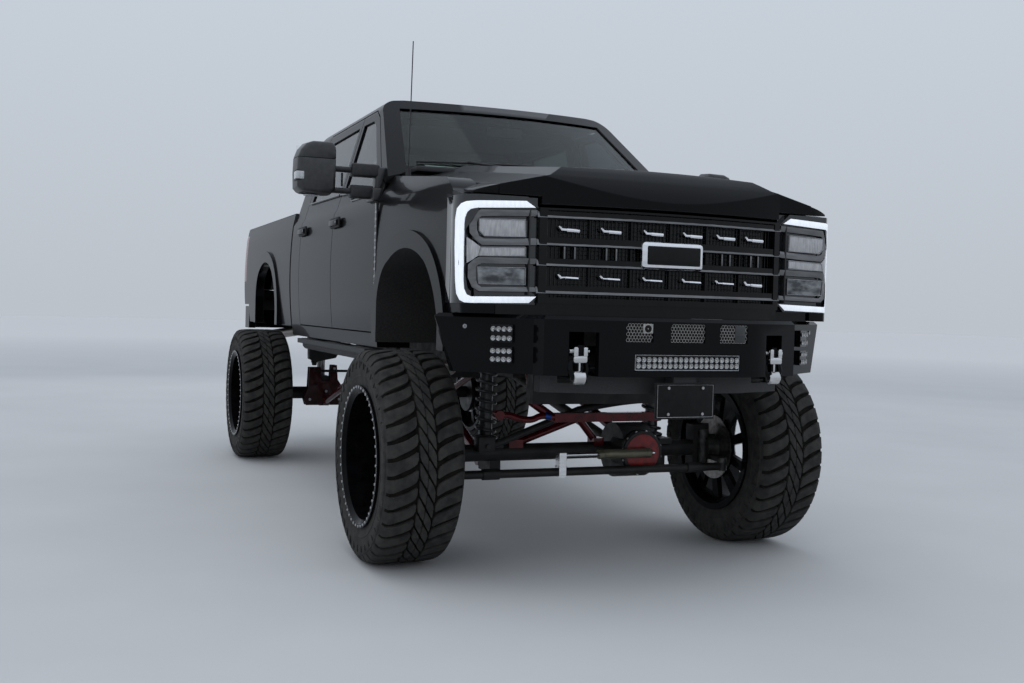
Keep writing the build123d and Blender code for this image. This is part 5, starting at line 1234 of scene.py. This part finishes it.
reshelled("grille", 0.004, gloss_plastic)
bright = finish("bright_trim", (0.8, 0.8, 0.82), (0.88, 0.88, 0.9), 0.02, 0.1, metal=1.0)
fronts = [nose_ribbon([(y, high, y, low) for y in BAR_STATIONS], -0.014, 0.006, 0.0015, 0.015)
          for low, high in BAR_FRONTS]
settle("grille_bar_fronts", fronts, bracket_grey)
accents = []
for z in ACCENT_ROWS:
    for y in ACCENT_SPOTS:
        x = nose_x(y, 0.016)
        run = [at(x, y - 0.049, z + 0.013), at(x, y - 0.036, z - 0.003), at(x, y + 0.05, z - 0.004)]
        accents.append(add_tube(run, 0.0058, 1, False))
        thick_end = [at(x + 0.001, y - 0.012, z - 0.0045), at(x + 0.001, y + 0.051, z - 0.006)]
        accents.append(add_tube(thick_end, 0.0078, 1, False))
settle("grille_accents", accents, bright)
mesh_wire = []
for i in range(MESH_COLUMNS):
    y = MESH_HALF * (2 * i / (MESH_COLUMNS - 1) - 1)
    x = nose_x(y, 0.036)
    mesh_wire.append(add_block((x - 0.002, y - 0.0012, 1.34), (x, y + 0.0012, 1.752)))
for i in range(MESH_ROWS):
    run = [at(nose_x(y, 0.037), y, MESH_LOW + i * MESH_STEP) for y in BAR_STATIONS[1:-1]]
    mesh_wire.append(add_tube(run, 0.0016, 0, False))
settle("grille_mesh", mesh_wire, trim_black)
uprights = [add_block((nose_x(y, 0.03), y - 0.004, 1.534), (nose_x(y, 0.006), y + 0.004, 1.59), 0.001)
            for middle in ACCENT_SPOTS for y in (middle - 0.022, middle + 0.026)]
settle("grille_uprights", uprights, bracket_grey)
settle("badge_rim", add_block((0.905, -0.165, 1.5), (0.948, 0.165, 1.632), 0.03, 4), bright)
settle("badge_field", add_block((0.925, -0.148, 1.517), (0.9505, 0.148, 1.615), 0.02, 4), gloss_plastic)


# Front bumper: folded and welded steel plate in gloss black, over a textured lower chin.
# It carries bright tow shackles, punched vent panels, a light bar, four lamp pods and a blank plate.
LED_GAP = 0.0272
FACET_IN = (0.915, 0.69)
FACET_OUT = (0.76, 0.905)
# Edges of the plate's rim and of the light bar's frame: left, height
PLATE_RIM = [(-0.146, 0.829), (0.146, 0.829), (0.146, 0.976), (-0.146, 0.976), (-0.146, 0.829)]
BAR_RIM = [(-0.272, 1.043), (0.272, 1.043), (0.272, 1.111), (-0.272, 1.111), (-0.272, 1.043)]
# Hexagonal holes: width across their flats, half the web between two
HOLE_PITCH = 0.0155
HALF_WEB = 0.0016
ROW_RISE = HOLE_PITCH * 3 ** 0.5 / 2
HOLE_ROWS = 6
# Vent panels: from and to across the bumper
VENTS = [(-0.325, -0.185), (-0.095, 0.085), (0.165, 0.315)]
SENSOR_PLACE = (0.7288, 0.9478, 1.219)
SENSOR_TURN = 36
# Lamp pods: lowest and highest
PODS = [(1.058, 1.132), (1.15, 1.232)]
bumper = reshelled("front_bumper", 0.003, paint, step_black, bright)
finish_where(bumper, 1, lambda middle, normal: middle.z < 1.009)
shackle = [
    add_block((0.994, 0.481, 1.096), (1.052, 0.504, 1.143), 0.008, 3),
    add_block((0.994, 0.528, 1.096), (1.052, 0.551, 1.143), 0.008, 3),
    add_block((0.994, 0.481, 1.07), (1.052, 0.551, 1.104), 0.01, 3),
    add_rod(at(1.023, 0.468, 1.123), at(1.023, 0.564, 1.123), 0.01, 20),
    add_rod(at(1.03, 0.516, 1.03), at(1.03, 0.516, 1.08), 0.007, 16),
    add_rod(at(1.024, 0.486, 1.006), at(1.024, 0.546, 1.006), 0.033, 28, 0.008),
]
settle("tow_shackles", both_sides(shackle), polished)
plate_black = finish("plate_enamel", (0.004, 0.004, 0.0045), (0.007, 0.007, 0.0075), 0.03, 0.3, coat=0.15,
                     shine=0.12)
settle("front_plate", add_block((1.08, -0.153, 0.822), (1.0835, 0.153, 0.983), 0.0012), plate_black)
bolt = add_rod((0, 0, 0), (0.006, 0, 0), 0.007, 12)
plate_bolts = repeated(bolt, [at(1.083, y, z) for y in (-0.09, 0.09) for z in (0.843, 0.962)])
plate_rim = add_tube([at(1.084, y, z) for y, z in PLATE_RIM], 0.0013, 1, False)
settle("plate_fittings", [plate_bolts, plate_rim], bolt_zinc)

punched_steel = finish("punched_steel", (0.3, 0.29, 0.27), (0.46, 0.45, 0.43), 0.01, 0.35, metal=1.0)
bpy.ops.mesh.primitive_circle_add(vertices=6, radius=HOLE_PITCH / 3 ** 0.5, fill_type="NGON")
hole = bpy.context.object
open_mesh(hole)
bpy.ops.mesh.inset(thickness=HALF_WEB)
bpy.ops.mesh.delete(type="FACE")
close_mesh()
hole.data.transform(Matrix.Rotation(radians(90), 4, "Y"))
places = []
for low, high in VENTS:
    columns = int((high - low) / HOLE_PITCH - 0.5)
    start = (low + high) / 2 - (columns - 0.5) * HOLE_PITCH / 2
    for row in range(HOLE_ROWS):
        height = 1.2105 + (row - (HOLE_ROWS - 1) / 2) * ROW_RISE
        shift = start + 0.5 * (row % 2) * HOLE_PITCH
        places += [at(1.0965, shift + column * HOLE_PITCH, height) for column in range(columns)]
punched = repeated(hole, places)
open_mesh(punched)
bpy.ops.mesh.remove_doubles(threshold=0.0002)
bpy.ops.mesh.normals_make_consistent(inside=False)
close_mesh()
thicken(punched, 0.0016)
settle("punched_vents", punched, punched_steel)
settle("camera_bezel", add_block((1.0945, -0.238, 1.208), (1.0985, -0.187, 1.25), 0.001), punched_steel)
ring = [(-0.002, 0.003), (-0.002, 0.017), (0.0012, 0.017), (0.0016, 0.014), (0.0005, 0.003)]
settle("camera_ring", add_turned(ring, "X", 28, at(1.0988, -0.2125, 1.229)), gloss_plastic)
settle("radar_cover", add_block((1.0945, 0.246, 1.172), (1.0992, 0.303, 1.25), 0.002), lens_black)
sensor = add_turned([(0.0, 0.002), (0.0, 0.011), (0.003, 0.01), (0.0032, 0.002)], "X", 20)
sensor.data.transform(Matrix.Translation(at(*SENSOR_PLACE)) @ Matrix.Rotation(radians(SENSOR_TURN), 4, "Z"))
settle("parking_sensors", both_sides(sensor), satin_chrome)

led_cup = finish("reflector_cup", (0.22, 0.22, 0.22), (0.5, 0.5, 0.5), 0.006, 0.14, metal=1.0)
led_core = finish("led_core", (0.4, 0.39, 0.33), (0.7, 0.69, 0.62), 0.002, 0.25, coat=0.6)
reshelled("bumper_lamps", 0.003, gloss_plastic)


def add_led(radius):
    """One reflector cup facing ahead, with its light in the middle."""
    cup = [(0.0, radius * 0.25), (0.006, radius), (0.0072, radius), (0.001, radius * 0.2)]
    core = [(0.0, 0.0004), (0.0, radius * 0.34), (0.003, radius * 0.26), (0.004, 0.0004)]
    return joined_in_finishes([(add_turned(cup, "X", 12), 0), (add_turned(core, "X", 8), 1)],
                              led_cup, led_core)


places = [at(1.0935, (i - 9.5) * LED_GAP, 1.077 + r * LED_GAP / 2) for i in range(20) for r in (-1, 1)]
settle("light_bar_leds", repeated(add_led(0.0125), places))
# The pods' lights sit on the bumper's corner facet, a share of the way out along it
facet_run = Vector((FACET_OUT[0] - FACET_IN[0], FACET_OUT[1] - FACET_IN[1], 0))
facet_out = Vector((facet_run.y, -facet_run.x, 0)).normalized()
facing = Matrix.Rotation(facet_out.to_2d().angle_signed(Vector((1, 0))), 4, "Z")
places = []
for low, high in PODS:
    for share in [0.34 + 0.38 * (column + 0.5) / 4 for column in range(4)]:
        for height in [low + (high - low) * (row + 0.5) / 2 for row in range(2)]:
            place = at(*FACET_IN, height) + facet_run * share + facet_out * 0.0255
            places.append(Matrix.Translation(place) @ facing)
settle("pod_leds", both_sides(repeated(add_led(0.0118), places)))
bar_frame = add_tube([at(1.0965, y, z) for y, z in BAR_RIM], 0.0035, 1, False)
settle("light_bar_frame", bar_frame, satin_chrome)


# Rear end: red tail lamps, a steel bumper with ribbed step pads, and a receiver for a hitch.
# The bed has plastic rail caps, tie-down rings and a flush handle in its tailgate.
lamp_red = finish("tail_lens", (0.1, 0.001, 0.002), (0.2, 0.0024, 0.004), 0.012, 0.12, coat=0.4, shine=0.3,
                  stretch=(1, 1, 6))
bump(lamp_red, 0.006, 0.0008, stretch=(1, 1, 12))
tails = reshelled("tail_lamps", 0.004, lamp_red, clear_lens, gloss_plastic)
finish_where(tails, 1, lambda middle, normal: 1.6 < middle.z < 1.66 and normal.x < -0.5)
finish_where(tails, 2, lambda middle, normal: normal.x > 0.5 or normal.y * middle.y < -0.3)
bands = [add_block((-5.249, 0.812, z), (-5.2435, 0.962, z + 0.012), 0.002) for z in (1.59, 1.665, 1.8)]
settle("tail_lamp_bands", both_sides(bands), gloss_plastic)
reverse = add_block((-5.2485, 0.818, 1.606), (-5.2435, 0.955, 1.661), 0.003)
settle("reverse_lamps", both_sides(reverse), clear_lens)
reshelled("rear_bumper", 0.005, paint)
pads = [add_block((-5.345, 0.27, 1.2715), (-5.235, 0.86, 1.2765), 0.002)]
pads += [add_block((-5.34, y, 1.276), (-5.24, y + 0.007, 1.279), 0.001)
         for y in [0.28 + i * 0.019 for i in range(30)]]
settle("bumper_step_pads", both_sides(pads), step_black)
settle("rear_valance", add_block((-5.193, -0.95, 1.24), (-5.175, 0.95, 1.33), 0.004), step_black)
side_caps = both_sides(add_block((-5.235, 0.845, 1.988), (-3.078, 0.96, 1.9965), 0.004))
front_cap = add_block((-3.116, -0.84, 1.988), (-3.075, 0.84, 1.9965), 0.004)
settle("bed_rail_caps", [side_caps, front_cap], step_black)
ring = add_turned([(-0.004, 0.02), (0.0, 0.024), (0.004, 0.02), (0.0, 0.016)], "Y", 24)
places = [at(x, 0.832, z) for x in (-3.25, -5.05) for z in (1.56, 1.9)]
settle("tie_down_rings", both_sides(repeated(ring, places)), bolt_zinc)
ribs = [add_block((-5.17, y, 1.4595), (-3.14, y + 0.06, 1.466), 0.003) for y in [-0.56 + i * 0.14 for i in range(9)]]
settle("bed_floor_ribs", ribs, bed_liner)
pull = add_block((-5.237, -0.095, 1.905), (-5.221, 0.095, 1.935), 0.005)
settle("tailgate_pull", pull, trim_black, body="tailgate")
gate_cap = add_block((-5.243, -0.758, 1.985), (-5.187, 0.758, 1.9915), 0.003)
settle("tailgate_cap", gate_cap, step_black, body="tailgate")
settle("high_stop_lamp", add_block((-2.955, -0.16, 2.503), (-2.925, 0.16, 2.527), 0.005), lamp_red)
